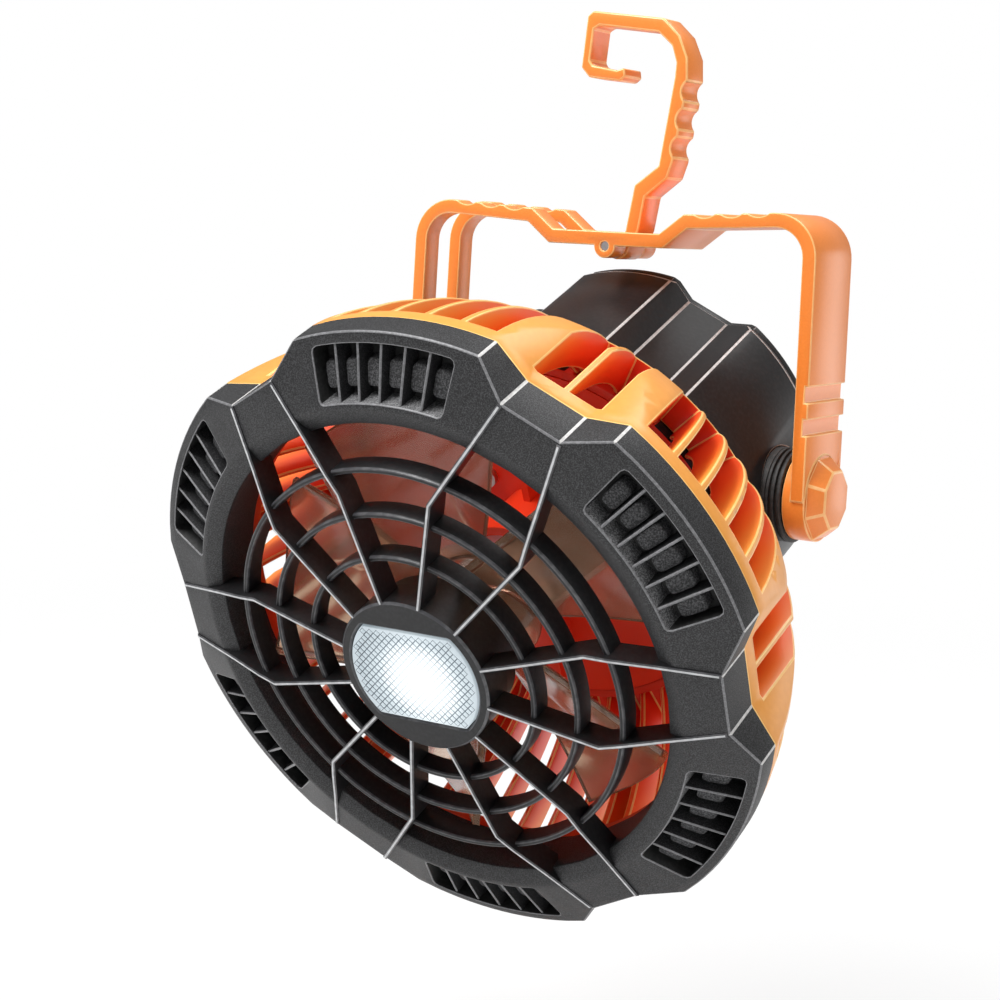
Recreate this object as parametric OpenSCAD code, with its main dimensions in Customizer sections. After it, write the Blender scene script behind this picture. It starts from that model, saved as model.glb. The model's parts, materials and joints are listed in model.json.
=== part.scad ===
// Portable camping fan with a lamp in its hub, hung by a folding hook.
// The head is drawn along its own axis: z = 0 is the plane of the front rim and +z runs to the rear.
// place_head() then tilts it on the pivot between the two arms of the handle.
// The origin of the whole object is the inside of the hook's bend, where it hangs.

/* [Front frame] */
// Radius of the six raised lobes of the front frame
lobe_r = 88; // [75:0.5:100]
// Half the angle that one lobe spans
lobe_half = 17.7; // [15:0.1:20]
// Radius of the six low stretches between the lobes
valley_r = 81.3; // [70:0.1:84]
// Half the angle that one low stretch spans
valley_half = 5.8; // [4:0.1:8]
// Radius of the air outlet
outlet_r = 66; // [55:0.5:68]
// Radius of the crease between the crown and the sloping face
crease_r = 71; // [69:0.5:74]
// Height of the crown in front of the rim plane
crown_h = 8; // [6:0.5:12]
// Height of the crease in front of the rim plane
crease_h = 7; // [5:0.5:10]
// Depth of the front frame behind the rim plane
frame_depth = 8; // [6:0.5:12]
// Wall of the moulded shells
wall = 2.4; // [1.6:0.1:3]

/* [Grille web] */
// Angle between a spoke and the middle of its lobe, near the hub
spoke_half = 15; // [12:0.5:18]
// Radius at which the spokes turn towards the low stretches
bend_r = 51; // [44:0.5:58]
// Number of concentric rings
ring_count = 3; // [3:1:6]
// Radius of the outermost ring
ring_outer_r = 55.5; // [50:0.5:62]
// Distance from one ring to the next
ring_pitch = 11.5; // [6:0.1:13]
// Thickness of a ring or spoke seen from the front
web_t = 1.4; // [1.2:0.1:2.4]
// Depth of the rings and spokes
web_depth = 7; // [5:0.5:9]
// Height of the web in front of the rim plane at its centre
dome_h = 15.5; // [12:0.5:20]

/* [Louvred vents] */
// Number of ribs across one vent
vent_ribs = 5; // [3:1:7]
// Half the angle that one vent spans
vent_half = 14; // [10:0.5:14.5]
// Width of a vent along the radius
vent_w = 13.4; // [9:0.1:14]
// Depth of the shallow step around the louvres
vent_step = 1; // [0.5:0.1:1.6]

/* [Lamp] */
// Radius of the grille's hub
hub_r = 21.5; // [20:0.5:25]
// Radius of the lens
lens_r = 18.5; // [16:0.5:19]
// Distance between the two flats of the lens
lens_flat = 26.4; // [22:0.2:30]
// Thickness of the lens at its edge
lens_t = 4; // [3:0.1:5]
// Clearance between parts that are pressed or screwed together
seat_gap = 0.15; // [0.1:0.05:0.3]

/* [Intake ring] */
// Radius of the ball that the fins follow
intake_r = 88.3; // [75:0.5:100]
// Thickness of the rim behind the front frame
intake_rim = 4.2; // [3:0.1:6]
// Distance from the rim plane to the rear end of the intake ring
intake_end = 68; // [60:1:72]
// Length of the collar that holds the rear housing
collar_len = 8; // [6:0.5:12]
// Depth of a fin along the radius
fin_depth = 10; // [6:0.5:12]
// Angle between two fins
fin_pitch = 6.6; // [6:0.1:6.8]
// Angle that a fin fills
fin_angle = 1.2; // [0.8:0.1:2]
// Number of slots in a lobe
lobe_slots = 5; // [3:1:5]
// Angle that one slot of a low stretch fills
valley_slot = 6.1; // [5:0.1:6.4]

/* [Rear housing] */
// Radius of the rear housing
drum_r = 53; // [48:0.5:56]
// Depth of the four channels along it
channel_depth = 5.5; // [3:0.1:7]
// Half the angle of a channel at its mouth
channel_mouth = 15; // [12:0.5:17]
// Half the angle of a channel at its floor
channel_floor = 7.6; // [5:0.1:9]
// Distance from the rim plane to the rear edge of the housing
drum_end = 119.5; // [112:0.5:124]
// Thickness of the rear cover outside the housing
cover_t = 3.5; // [3:0.1:4]

/* [Fan and motor] */
// Radius of the fan at its blade tips
fan_r = 62; // [50:0.5:63]
// Number of blades
blade_count = 5; // [3:1:7]
// Thickness of a blade
blade_t = 1.8; // [1.2:0.1:3]
// Pitch of a blade in degrees
blade_pitch = 32; // [20:1:40]
// Radius of a blade's camber
blade_camber_r = 46; // [38:1:80]
// Radius of the fan's hub
fan_hub_r = 17; // [14:0.5:22]
// Radius of the motor shaft
shaft_r = 1.6; // [1:0.1:2.5]
// Radius of the motor can
motor_r = 13.5; // [11:0.5:18]
// Running clearance on a shaft or a pivot
running_gap = 0.05; // [0.03:0.01:0.08]

/* [Handle] */
// Distance from the pivot to the rear end of the drum
pivot_back = 26.2; // [23:0.1:31]
// Downward tilt of the head in degrees
head_tilt = 23.4; // [0:0.1:60]
// Half the width of the handle at the pivot
handle_half = 64.6; // [62:0.1:72]
// Thickness of the band that the handle is made of
arm_t = 3.9; // [3:0.1:5]
// Width of the handle from front to rear
handle_depth = 25.6; // [20:0.1:30]
// Height of the grip above the pivot, at its corners
handle_top = 76.4; // [72:0.1:90]
// Inward lean of the arms, as a slope
arm_lean = 0.017; // [0:0.001:0.03]
// Outer radius of the handle's corners
corner_r = 12; // [8:0.5:16]
// Fall of the grip towards the middle, as a slope
grip_fall = 0.055; // [0:0.005:0.08]
// Drop of the middle of the grip below its two halves
jog_drop = 5.6; // [4:0.1:8]
// Width of the slot that the hook folds into
slot_w = 11.4; // [9:0.1:14]
// Radius of the pivot screws
pivot_r = 3; // [2.5:0.1:4]

/* [Hook] */
// Height of the hook's pin above the handle's pivot
pin_up = 65.2; // [60:0.1:80]
// Radius of the hook's pin
pin_r = 1.3; // [1:0.1:2]
// Height of the hook's bend above its pin, measured inside
bend_up = 60.3; // [50:0.1:70]
// Side gap between the hook and its slot
hook_gap = 0.5; // [0.3:0.1:0.8]

/* [Buttons] */
// Radius of the two buttons
button_r = 6.5; // [5:0.1:8]
// Travel of a button
button_travel = 1.2; // [0.8:0.1:2]
// Distance of each button from the middle of the rear cover
button_off = 13; // [10:0.5:18]

/* [Hidden] */
$fn = 96;

charcoal = [0.13, 0.13, 0.14];
orange = [0.95, 0.5, 0.12];
deep_orange = [0.93, 0.42, 0.1];
steel = [0.7, 0.7, 0.72];
smoke = [0.35, 0.28, 0.26];
lobes = 6;
channel_angles = [60, 120, 240, 300];
lobe_step = 360 / lobes;
valley_at = lobe_step / 2 - valley_half;
pivot_drop = pin_up + bend_up;
eps = 0.01;

// places on the head's axis
hub_back = -dome_h + 9.3;
lens_back = -dome_h - 0.8 + lens_t;
vent_in_r = crease_r + 1;
rim_back = frame_depth + intake_rim;
slot_front = rim_back + 1;
collar_front = intake_end - collar_len;
bulk_front = intake_end - 8.5;
bulk_t = 3;
drum_wall = 2.5;
drum_in = drum_r - drum_wall;
pivot_depth = drum_end - pivot_back;
cover_back = drum_end + cover_t;
cover_dish = 1.8;
cover_plug = 4;
board_z = drum_end - 9.5;
board_t = 1.6;
switch_h = 2.3;
boss_at = valley_r - 8;
frame_screw_r = 1.4;
frame_screw_len = 9;
cover_screw_r = 1.3;
mount_t = 3;
mount_rib_end = drum_in - 8.5;
motor_screw_r = 1.5;
bush_r = 3.5;
led_board_r = 17.5;
lens_ball_r = 85;
lens_seat = 2.5;
screw_boss_r = 3.6;
button_up = 8;
button_gap = 0.35;
window_r = 1.5;
window_down = 8;
port_w = 9;
port_h = 3.2;
port_down = 15.2;
through = 40;
fan_front = 2.5;
fan_len = 20;
motor_front = fan_front + fan_len + 2.5;
motor_len = 24;
motor_back = motor_front + motor_len;
cell_r = 9.1;
cell_len = 65;
cell_z = bulk_front + bulk_t + 4 + cell_r;

// pivot, from the middle of the head outwards
pad_seat = drum_r - 2.3;
pad_r = 13;
boss_x = handle_half - 6.6;
pad_len = boss_x - 0.3 - pad_seat;
boss_r = 12;
knob_h = 4.4;

// handle profile, and the two grooves across each arm
arm_top = handle_top - corner_r;
corner_x = handle_half - arm_lean * arm_top - corner_r;
jog_x = 24;
mid_x = 16.8;
jog_top = handle_top - grip_fall * (corner_x - jog_x);
mid_top = jog_top - jog_drop;
slot_end_x = 6.9;
slot_foot = 24;
groove_foot = 17.8;
groove_w = 4.4;
groove_in = 1.6;
hook_half = slot_w / 2 - hook_gap;

button_top = cover_back - 0.6;
button_low = board_z + board_t + switch_h + button_travel + 0.3;

function polar(r, a) = [r * cos(a), r * sin(a)];
function line_at(p, q, r) = p[1] + (q[1] - p[1]) * (r - p[0]) / (q[0] - p[0]);
// height of the frame's face at radius r
function face_z(r) = r < crease_r
    ? line_at([outlet_r, -crown_h], [crease_r, -crease_h], r)
    : line_at([crease_r, -crease_h], [lobe_r, 0], r);
// height of the web's front edge at radius r
function web_z(r) = r < hub_r ? -dome_h
    : r < bend_r ? line_at([hub_r, -dome_h], [bend_r, -dome_h + 2.6], r)
    : r < ring_outer_r ? line_at([bend_r, -dome_h + 2.6], [ring_outer_r, -dome_h + 3.8], r)
    : line_at([ring_outer_r, -dome_h + 3.8], [outlet_r, -crown_h - 0.9], r);

// ---------- placing ----------

module place_head()
    translate([0, 0, -pivot_drop]) rotate([head_tilt, 0, 0]) translate([0, -pivot_depth, 0])
        rotate([-90, 0, 0]) children();

module place_handle()
    translate([0, 0, -pivot_drop]) children();

module place_pin()
    translate([0, 0, -bend_up]) children();

module each_lobe()
    for (i = [0 : lobes - 1]) rotate([0, 0, i * lobe_step + lobe_step / 2]) children();

// a wedge of a ring round the z axis, from angle a0 to a1, with section [r, z]
module wedge(a0, a1)
    rotate([0, 0, a0]) rotate_extrude(angle = a1 - a0) children();

module box_section(r0, r1, z0, z1)
    translate([r0, z0]) square([r1 - r0, z1 - z0]);

// a disc along x, its middle at the pivot of the head
module at_pivot(x, side)
    translate([side * x, 0, pivot_depth]) rotate([0, side * 90, 0]) children();

// ---------- front frame ----------

// points of one flank: the low corner, and a point past the lobe's arc on the same line
function flank(inset, side) =
    let (turn = asin(inset / lobe_r),
         p = polar(lobe_r - inset, side * (lobe_half - turn)),
         v = polar(valley_r - inset, side * (valley_at - turn)))
    side < 0 ? [v, p + 1.2 * (p - v)] : [p + 1.2 * (p - v), v];

function turn_all(points, a) =
    [for (p = points) [p[0] * cos(a) - p[1] * sin(a), p[0] * sin(a) + p[1] * cos(a)]];

module lobed_outline(inset = 0) {
    corners = [for (i = [0 : lobes - 1])
        each turn_all(concat(flank(inset, -1), flank(inset, 1)), i * lobe_step + lobe_step / 2)];
    intersection() {
        circle(r = lobe_r - inset);
        polygon(corners);
    }
}

module lobed_bar(z0, z1, inset = 0)
    translate([0, 0, z0]) linear_extrude(z1 - z0) lobed_outline(inset);

module frame_face(inset, z1, r0)
    rotate_extrude() polygon([
        [r0, face_z(outlet_r) + inset], [crease_r, face_z(crease_r) + inset],
        [lobe_r - 1, face_z(lobe_r - 1) + inset], [lobe_r + 1, face_z(lobe_r - 1) + inset + 2],
        [lobe_r + 1, z1], [r0, z1]]);

// half the thickness of the web, square to the line from p to q
function half_side(p, q) = [p[1] - q[1], q[0] - p[0]] * web_t / 2 / norm(q - p);

module spoke_outline(a) {
    side = a > 0 ? 1 : -1;
    start = polar(hub_r - 1, a);
    knee = polar(bend_r, a);
    tip = polar(valley_r - 0.5, side * (valley_at - 0.4));
    inner = half_side(start, knee);
    outer = half_side(knee, tip);
    mitre = (inner + outer) / (1 + inner * outer / (web_t * web_t / 4));
    polygon([start + inner, knee + mitre, tip + outer, tip - outer, knee - mitre, start - inner]);
}

module web_outline() {
    for (i = [0 : ring_count - 1]) difference() {
        circle(r = ring_outer_r - i * ring_pitch + web_t / 2);
        circle(r = ring_outer_r - i * ring_pitch - web_t / 2);
    }
    circle(r = hub_r);
    for (i = [0 : lobes - 1]) for (s = [-1, 1])
        rotate(i * lobe_step + lobe_step / 2) spoke_outline(s * spoke_half);
}

module web()
    intersection() {
        translate([0, 0, -dome_h - 1]) linear_extrude(dome_h + 4) web_outline();
        rotate_extrude() polygon([
            [0, -dome_h], [hub_r, web_z(hub_r)], [bend_r, web_z(bend_r)],
            [ring_outer_r, web_z(ring_outer_r)], [outlet_r, web_z(outlet_r)],
            [valley_r, face_z(valley_r) - 0.7], [valley_r, face_z(valley_r) + 1],
            [outlet_r + 1, face_z(outlet_r + 1) + 1.5], [outlet_r + 1, web_z(outlet_r) + web_depth],
            [ring_outer_r, web_z(ring_outer_r) + web_depth], [bend_r, web_z(bend_r) + web_depth],
            [hub_r + 3, web_z(hub_r) + web_depth], [hub_r, hub_back], [0, hub_back]]);
    }

module lens_outline(grow = 0)
    intersection() {
        circle(r = lens_r + grow);
        square([3 * lens_r, lens_flat + 2 * grow], center = true);
    }

// section of a cut into the sloping face of a lobe, reaching depth d below it
module face_cut(r0, r1, d)
    polygon([[r0, face_z(r0) - 4], [r1, face_z(r1) - 4], [r1, face_z(r1) + d], [r0, face_z(r0) + d]]);

module vent_cuts() {
    edge = 0.7;
    rib = 0.9;
    slot = 2 * (vent_half - edge) / (vent_ribs + 1);
    wedge(-vent_half, vent_half) face_cut(vent_in_r, vent_in_r + vent_w, vent_step);
    for (i = [0 : vent_ribs])
        wedge(edge - vent_half + i * slot + rib / 2, edge - vent_half + (i + 1) * slot - rib / 2)
            face_cut(vent_in_r + edge, vent_in_r + vent_w - edge, frame_depth);
}

module frame_shell()
    difference() {
        intersection() {
            lobed_bar(-crown_h - 1, frame_depth);
            frame_face(0, frame_depth + 1, outlet_r);
        }
        intersection() {
            lobed_bar(-crown_h, frame_depth + 1, wall);
            frame_face(wall, frame_depth + 2, outlet_r + wall);
        }
        each_lobe() vent_cuts();
    }

// six screw bosses behind the low stretches
module frame_bosses()
    frame_screw_places() difference() {
        translate([0, 0, face_z(boss_at) + 1])
            cylinder(r = screw_boss_r, h = frame_depth - face_z(boss_at) - 1);
        translate([0, 0, frame_depth - frame_screw_len])
            cylinder(r = frame_screw_r + running_gap, h = frame_screw_len + 1);
    }

module frame_screw_places()
    for (a = [0 : lobe_step : 300]) rotate([0, 0, a]) translate([boss_at, 0, 0]) children();

module front_frame()
    color(charcoal) place_head() {
        frame_shell();
        frame_bosses();
        difference() {
            web();
            translate([0, 0, -dome_h - 2]) linear_extrude(lens_back + dome_h + 2)
                lens_outline(seat_gap);
            cylinder(r = lens_r - lens_seat, h = through, center = true);
        }
    }

module vent_inserts()
    color([0.3, 0.3, 0.31]) place_head() each_lobe() {
        low = vent_in_r - 1;
        high = lobe_r - wall - seat_gap;
        sink = wall + 2 * seat_gap;
        wedge(-vent_half - 0.5, vent_half + 0.5) polygon([
            [low, face_z(low) + sink], [high, face_z(high) + sink],
            [high, frame_depth - seat_gap], [low, frame_depth - seat_gap]]);
    }

// ---------- lamp ----------

module lens()
    color([0.92, 0.96, 1, 0.8]) place_head() intersection() {
        translate([0, 0, -dome_h - 3]) linear_extrude(lens_back + dome_h + 3) lens_outline();
        translate([0, 0, lens_ball_r - dome_h - 2]) sphere(r = lens_ball_r, $fn = 200);
    }

module reflector()
    color([0.85, 0.86, 0.88]) place_head() difference() {
        cup_r = lens_r - lens_seat - seat_gap;
        translate([0, 0, lens_back]) cylinder(r = cup_r, h = hub_back - lens_back - 0.1);
        translate([0, 0, lens_back - eps]) cylinder(r1 = cup_r - 1, r2 = 6, h = 5);
        cylinder(r = 6, h = through, center = true);
    }

module led_board()
    color([0.9, 0.9, 0.86]) place_head() {
        translate([0, 0, hub_back]) cylinder(r = led_board_r, h = board_t);
        translate([-4, -4, hub_back - 1.2]) cube([8, 8, 1.2]);
    }

module lamp_cup()
    color(charcoal) place_head() translate([0, 0, hub_back]) difference() {
        cylinder(r = hub_r - 1, h = 6.2);
        translate([0, 0, -eps]) cylinder(r = led_board_r + seat_gap, h = 4);
    }

// ---------- intake ring ----------

module intake_body(inset) intersection() {
    lobed_bar(frame_depth - (inset > 0 ? 1 : 0), intake_end + (inset > 0 ? 1 : 0), inset);
    sphere(r = intake_r - inset, $fn = 200);
}

module lobe_slots() {
    first = -lobe_slots * fin_pitch / 2;
    for (i = [0 : lobe_slots - 1])
        wedge(first + i * fin_pitch + fin_angle / 2, first + (i + 1) * fin_pitch - fin_angle / 2)
            box_section(drum_r - 2, lobe_r + 2, slot_front, collar_front);
}

module valley_slots()
    for (s = [0, 1])
        rotate([0, 0, lobe_step / 2]) mirror([0, s, 0])
            wedge(fin_angle / 2, fin_angle / 2 + valley_slot)
                box_section(drum_r - 2, lobe_r + 2, slot_front, collar_front);

// hollows behind the plain panels between the two kinds of slot
module panel_hollows() {
    a0 = lobe_slots * fin_pitch / 2 + fin_angle;
    a1 = lobe_step / 2 - valley_slot - 2 * fin_angle;
    intersection() {
        intake_body(wall);
        each_lobe() for (s = [0, 1]) mirror([0, s, 0])
            wedge(a0, a1) box_section(drum_r - 2, lobe_r, slot_front + 1, collar_front - 1);
    }
}

module intake_ring()
    color(orange) place_head() difference() {
        intake_body(0);
        difference() {
            sphere(r = intake_r - fin_depth, $fn = 200);
            translate([0, 0, -50]) cylinder(r = 200, h = 50 + rim_back);
        }
        translate([0, 0, -1]) cylinder(r = outlet_r + 0.5, h = rim_back + 2);
        cylinder(r = drum_r + seat_gap, h = 200);
        frame_screw_places() cylinder(r = frame_screw_r + running_gap, h = rim_back + 2);
        each_lobe() {
            lobe_slots();
            valley_slots();
        }
        panel_hollows();
    }

// ---------- rear housing ----------

module channel_outline(grow)
    polygon([
        polar(drum_r - channel_depth - grow, -channel_floor - grow * 0.4),
        polar(drum_r - channel_depth - grow, channel_floor + grow * 0.4),
        polar(drum_r + 3, channel_mouth + grow * 1.6 + 2.6),
        polar(drum_r + 3, -channel_mouth - grow * 1.6 - 2.6)]);

module drum_outline(inset = 0)
    difference() {
        circle(r = drum_r - inset);
        for (a = channel_angles) rotate(a) channel_outline(inset);
    }

module rear_housing()
    color(charcoal) place_head() difference() {
        union() {
            difference() {
                rotate_extrude() polygon([[0, bulk_front - 3], [drum_r, bulk_front - 3],
                    [drum_r, drum_end - 2.2], [drum_r - 1.2, drum_end], [0, drum_end]]);
                for (a = channel_angles) rotate([0, 0, a])
                    translate([0, 0, intake_end]) linear_extrude(drum_end) channel_outline(0);
                translate([0, 0, bulk_front + bulk_t]) linear_extrude(drum_end)
                    drum_outline(drum_wall);
                translate([0, 0, bulk_front - 4]) cylinder(r = drum_in, h = 4);
            }
            intersection() {
                union() {
                    for (s = [-1, 1]) at_pivot(43, s) cylinder(r = 15, h = 10);
                    cover_screw_places() translate([0, 0, board_z - 14]) cylinder(r = screw_boss_r, h = 14);
                }
                translate([0, 0, intake_end]) cylinder(r = drum_r - 0.5, h = 50);
            }
        }
        for (s = [-1, 1]) {
            at_pivot(pad_seat, s) cylinder(r = pad_r + seat_gap, h = 10);
            at_pivot(30, s) cylinder(r = pivot_r + running_gap, h = 30);
        }
        cover_screw_places() translate([0, 0, board_z - 11])
            cylinder(r = cover_screw_r + running_gap, h = 20);
        motor_screw_places() cylinder(r = motor_screw_r + running_gap, h = 90);
        translate([0, 0, 40]) cylinder(r = 5, h = 40);
    }

module cover_screw_places()
    for (a = [30, 150, 210, 330]) rotate([0, 0, a]) translate([drum_in - 3.4, 0, 0]) children();

module rear_cover()
    color(charcoal) place_head() difference() {
        union() {
            intersection() {
                translate([0, 0, drum_end]) linear_extrude(cover_t) drum_outline(1.2);
                rotate_extrude() polygon([[0, drum_end], [drum_r, drum_end],
                    [drum_r - 1.2, cover_back - 1.2], [drum_r - 2.6, cover_back], [0, cover_back]]);
            }
            difference() {
                translate([0, 0, drum_end - cover_plug]) linear_extrude(cover_plug + eps)
                    drum_outline(drum_wall + seat_gap);
                translate([0, 0, drum_end - cover_plug - 1]) linear_extrude(cover_plug + 1)
                    drum_outline(drum_wall + seat_gap + 2);
            }
            cover_screw_places() translate([0, 0, board_z + board_t])
                cylinder(r = 3.2, h = drum_end - board_z - board_t + eps);
        }
        translate([0, 0, cover_back - cover_dish]) cylinder(r = 31, h = 5);
        for (s = [-1, 1]) translate([s * button_off, -button_up, board_z])
            cylinder(r = button_r + button_gap, h = through);
        translate([-port_w / 2 - 0.2, port_down - 0.2, board_z])
            cube([port_w + 0.4, port_h + 0.4, through]);
        translate([0, window_down, board_z]) cylinder(r = window_r + seat_gap, h = through);
        cover_screw_places() {
            translate([0, 0, board_z]) cylinder(r = cover_screw_r + running_gap, h = through);
            translate([0, 0, cover_back - 2.2]) cylinder(r = 2.7, h = 5);
        }
    }

module screw(head_r, head_h, r, len)
    difference() {
        union() {
            translate([0, 0, -head_h]) cylinder(r = head_r, h = head_h);
            translate([0, 0, -head_h - len]) cylinder(r = r, h = len + eps);
        }
        for (a = [0, 90]) rotate([0, 0, a])
            translate([-head_r * 0.6, -0.35, -head_h * 0.6]) cube([head_r * 1.2, 0.7, head_h]);
    }

module cover_screws()
    color(steel) place_head() cover_screw_places()
        translate([0, 0, cover_back - 0.3])
            screw(2.5, 1.9, cover_screw_r, cover_back - 2.2 - board_z + 10);

// six screws go through the rim of the intake ring into the front frame
module frame_screws()
    color(steel) place_head() frame_screw_places()
        translate([0, 0, rim_back + 1.6])
            screw(2.6, 1.6, frame_screw_r, rim_back - frame_depth + frame_screw_len - 1);

module motor_screw_places()
    for (a = [45 : 90 : 315]) rotate([0, 0, a]) translate([24, 0, 0]) children();

// four screws hold the motor mount to the front of the rear housing
module motor_screws()
    color(steel) place_head() motor_screw_places()
        translate([0, 0, bulk_front - mount_t - 1.8]) rotate([180, 0, 0])
            screw(2.8, 1.8, motor_screw_r, mount_t + bulk_t);

// ---------- fan and motor ----------

// front view of one blade: a broad paddle whose leading edge is hollow
module blade_outline()
    difference() {
        circle(r = fan_r);
        circle(r = fan_hub_r - 2);
        rotate(90) translate([-22, 8]) circle(r = 26);
        rotate(-2) translate([0, -fan_r]) square([fan_r + 1, fan_r]);
        rotate(68) square([fan_r + 1, fan_r + 1]);
        translate([-fan_r, -fan_r]) square([fan_r, 2 * fan_r]);
    }

// a cambered plate along a radius, its chord turned by the blade's pitch
module blade_plate()
    rotate([blade_pitch, 0, 0]) translate([0, 0, 1 - blade_camber_r]) rotate([0, 90, 0])
        difference() {
            cylinder(r = blade_camber_r, h = fan_r + 2, $fn = 200);
            translate([0, 0, -1]) cylinder(r = blade_camber_r - blade_t, h = fan_r + 4, $fn = 200);
        }

module fan_blade()
    intersection() {
        translate([0, 0, fan_front]) linear_extrude(fan_len) blade_outline();
        translate([0, 0, fan_front + fan_len / 2]) rotate([0, 0, 33]) blade_plate();
    }

module fan()
    color(smoke) place_head() difference() {
        union() {
            translate([0, 0, fan_front]) cylinder(r = fan_hub_r, h = fan_len - 2);
            for (i = [0 : blade_count - 1]) rotate([0, 0, i * 360 / blade_count]) fan_blade();
        }
        translate([0, 0, fan_front + 2.5]) difference() {
            cylinder(r = fan_hub_r - 2, h = fan_len);
            cylinder(r = 4, h = fan_len - 5);
        }
        translate([0, 0, fan_front + 2.5]) cylinder(r = shaft_r + eps, h = fan_len);
    }

module motor_shaft()
    color(steel) place_head() translate([0, 0, fan_front + 3])
        cylinder(r = shaft_r, h = motor_back - fan_front - 5);

module motor_bush()
    color([0.8, 0.62, 0.25]) place_head() translate([0, 0, motor_front - 1]) difference() {
        cylinder(r = bush_r, h = 5);
        translate([0, 0, -1]) cylinder(r = shaft_r + running_gap, h = 8);
    }

module motor_can()
    color(steel) place_head() difference() {
        translate([0, 0, motor_front]) cylinder(r = motor_r, h = motor_len);
        translate([0, 0, motor_front - 1]) cylinder(r = bush_r + eps, h = 5);
        translate([0, 0, motor_front + 1]) cylinder(r = shaft_r + 0.4, h = motor_len - 2);
    }

// an orange plate closes the front of the rear housing and carries the motor in a ribbed cup
module motor_mount()
    color(orange) place_head() difference() {
        union() {
            translate([0, 0, motor_front + 8]) cylinder(r = motor_r + wall, h = bulk_front - motor_front - 8);
            translate([0, 0, bulk_front - mount_t]) cylinder(r = drum_in - seat_gap, h = mount_t);
            for (a = [0 : 90 : 270]) rotate([0, 0, a]) translate([motor_r, -1, bulk_front - 12])
                cube([mount_rib_end - motor_r, 2, 10]);
        }
        translate([0, 0, motor_front]) cylinder(r = motor_r + 0.02, h = motor_len);
        translate([0, 0, motor_back - 1]) cylinder(r = 6, h = 40);
        motor_screw_places() cylinder(r = motor_screw_r + running_gap, h = 90);
    }

// ---------- battery and electronics ----------

module cells(grow = 0)
    for (i = [-1.5 : 1 : 1.5]) translate([i * 19, 0, cell_z]) rotate([90, 0, 0])
        cylinder(r = cell_r + grow, h = cell_len + 2 * grow, center = true);

module battery_cells()
    color([0.25, 0.5, 0.75]) place_head() cells();

module battery_holder()
    color([0.2, 0.2, 0.22]) place_head() difference() {
        translate([-33, -29, bulk_front + bulk_t]) cube([66, 58, 9]);
        cells(seat_gap);
    }

module circuit_board()
    color([0.1, 0.35, 0.18]) place_head() translate([0, 0, board_z]) difference() {
        linear_extrude(board_t) drum_outline(drum_wall + 0.4);
        cover_screw_places() cylinder(r = cover_screw_r + running_gap, h = 10, center = true);
    }

module tact_switches()
    color([0.12, 0.12, 0.12]) place_head() for (s = [-1, 1])
        translate([s * button_off, -button_up, board_z + board_t]) {
            translate([-3, -3, 0]) cube([6, 6, 2]);
            cylinder(r = 1.7, h = switch_h);
        }

module usb_port()
    color(steel) place_head() translate([-port_w / 2, port_down, board_z + board_t]) difference() {
        cube([port_w, port_h, cover_back - cover_dish - 0.4 - board_z - board_t]);
        translate([0.3, 0.3, 2]) cube([port_w - 0.6, port_h - 0.6, through]);
    }

module charge_window()
    color([0.9, 0.95, 0.9]) place_head() translate([0, window_down, board_z + board_t])
        cylinder(r = window_r, h = cover_back - cover_dish + 0.2 - board_z - board_t);

module button_cap(side)
    color(deep_orange) place_head() translate([side * button_off, -button_up, 0]) {
        translate([0, 0, button_low + 1]) cylinder(r = button_r, h = button_top - button_low - 1.6);
        translate([0, 0, button_top - 0.6 - eps]) cylinder(r1 = button_r, r2 = button_r - 0.6, h = 0.6);
        translate([0, 0, drum_end - 1.7]) cylinder(r = button_r + 1, h = 1.4);
        translate([0, 0, button_low]) cylinder(r = 1.5, h = 1 + eps);
    }

module fan_button() button_cap(-1);

module lamp_button() button_cap(1);

// ---------- pivot ----------

module pivot_pads()
    color([0.08, 0.08, 0.08]) place_head() for (s = [-1, 1]) at_pivot(pad_seat, s) difference() {
        union() {
            cylinder(r = pad_r - 1, h = pad_len);
            for (i = [0 : 2]) translate([0, 0, pad_len - 0.9 - i * 1.7]) cylinder(r = pad_r, h = 0.9);
            cylinder(r = pad_r, h = 2.6);
        }
        translate([0, 0, -1]) cylinder(r = pivot_r + running_gap, h = pad_len + 2);
    }

module pivot_screws()
    color(steel) place_head() for (s = [-1, 1]) at_pivot(0, s) {
        translate([0, 0, pad_seat - 6]) cylinder(r = pivot_r, h = handle_half + 0.4 - pad_seat + 6);
        translate([0, 0, handle_half + 0.4 - eps]) cylinder(r = 5, h = 2);
    }

// ---------- handle ----------

function arc(middle, r, a0, a1, steps = 12) =
    [for (i = [0 : steps]) middle + polar(r, a0 + (a1 - a0) * i / steps)];

function flipped(points) = [for (p = points) [-p[0], p[1]]];

function backwards(points) = [for (i = [len(points) - 1 : -1 : 0]) points[i]];

// one side of the band, from the foot of the right arm to the middle of the grip
function band_side(inset, shift) = concat(
    [[handle_half - inset, 0]],
    arc([corner_x, arm_top], corner_r - inset, atan(arm_lean), 90 + atan(grip_fall)),
    [[jog_x + shift, jog_top - inset + grip_fall * shift], [mid_x + shift, mid_top - inset]]);

module scallops()
    for (i = [0 : 2]) translate([30 + i * 8, handle_top + 4.6 - grip_fall * (corner_x - 30 - i * 8)])
        circle(r = 5.6);

module handle_shape() {
    outer = band_side(0, 0);
    inner = band_side(arm_t, 1.3);
    rotate([90, 0, 0]) linear_extrude(handle_depth, center = true) difference() {
        polygon(concat(outer, backwards(flipped(outer)), flipped(inner), backwards(inner)));
        for (s = [0, 1]) mirror([s, 0]) scallops();
    }
}

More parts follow.
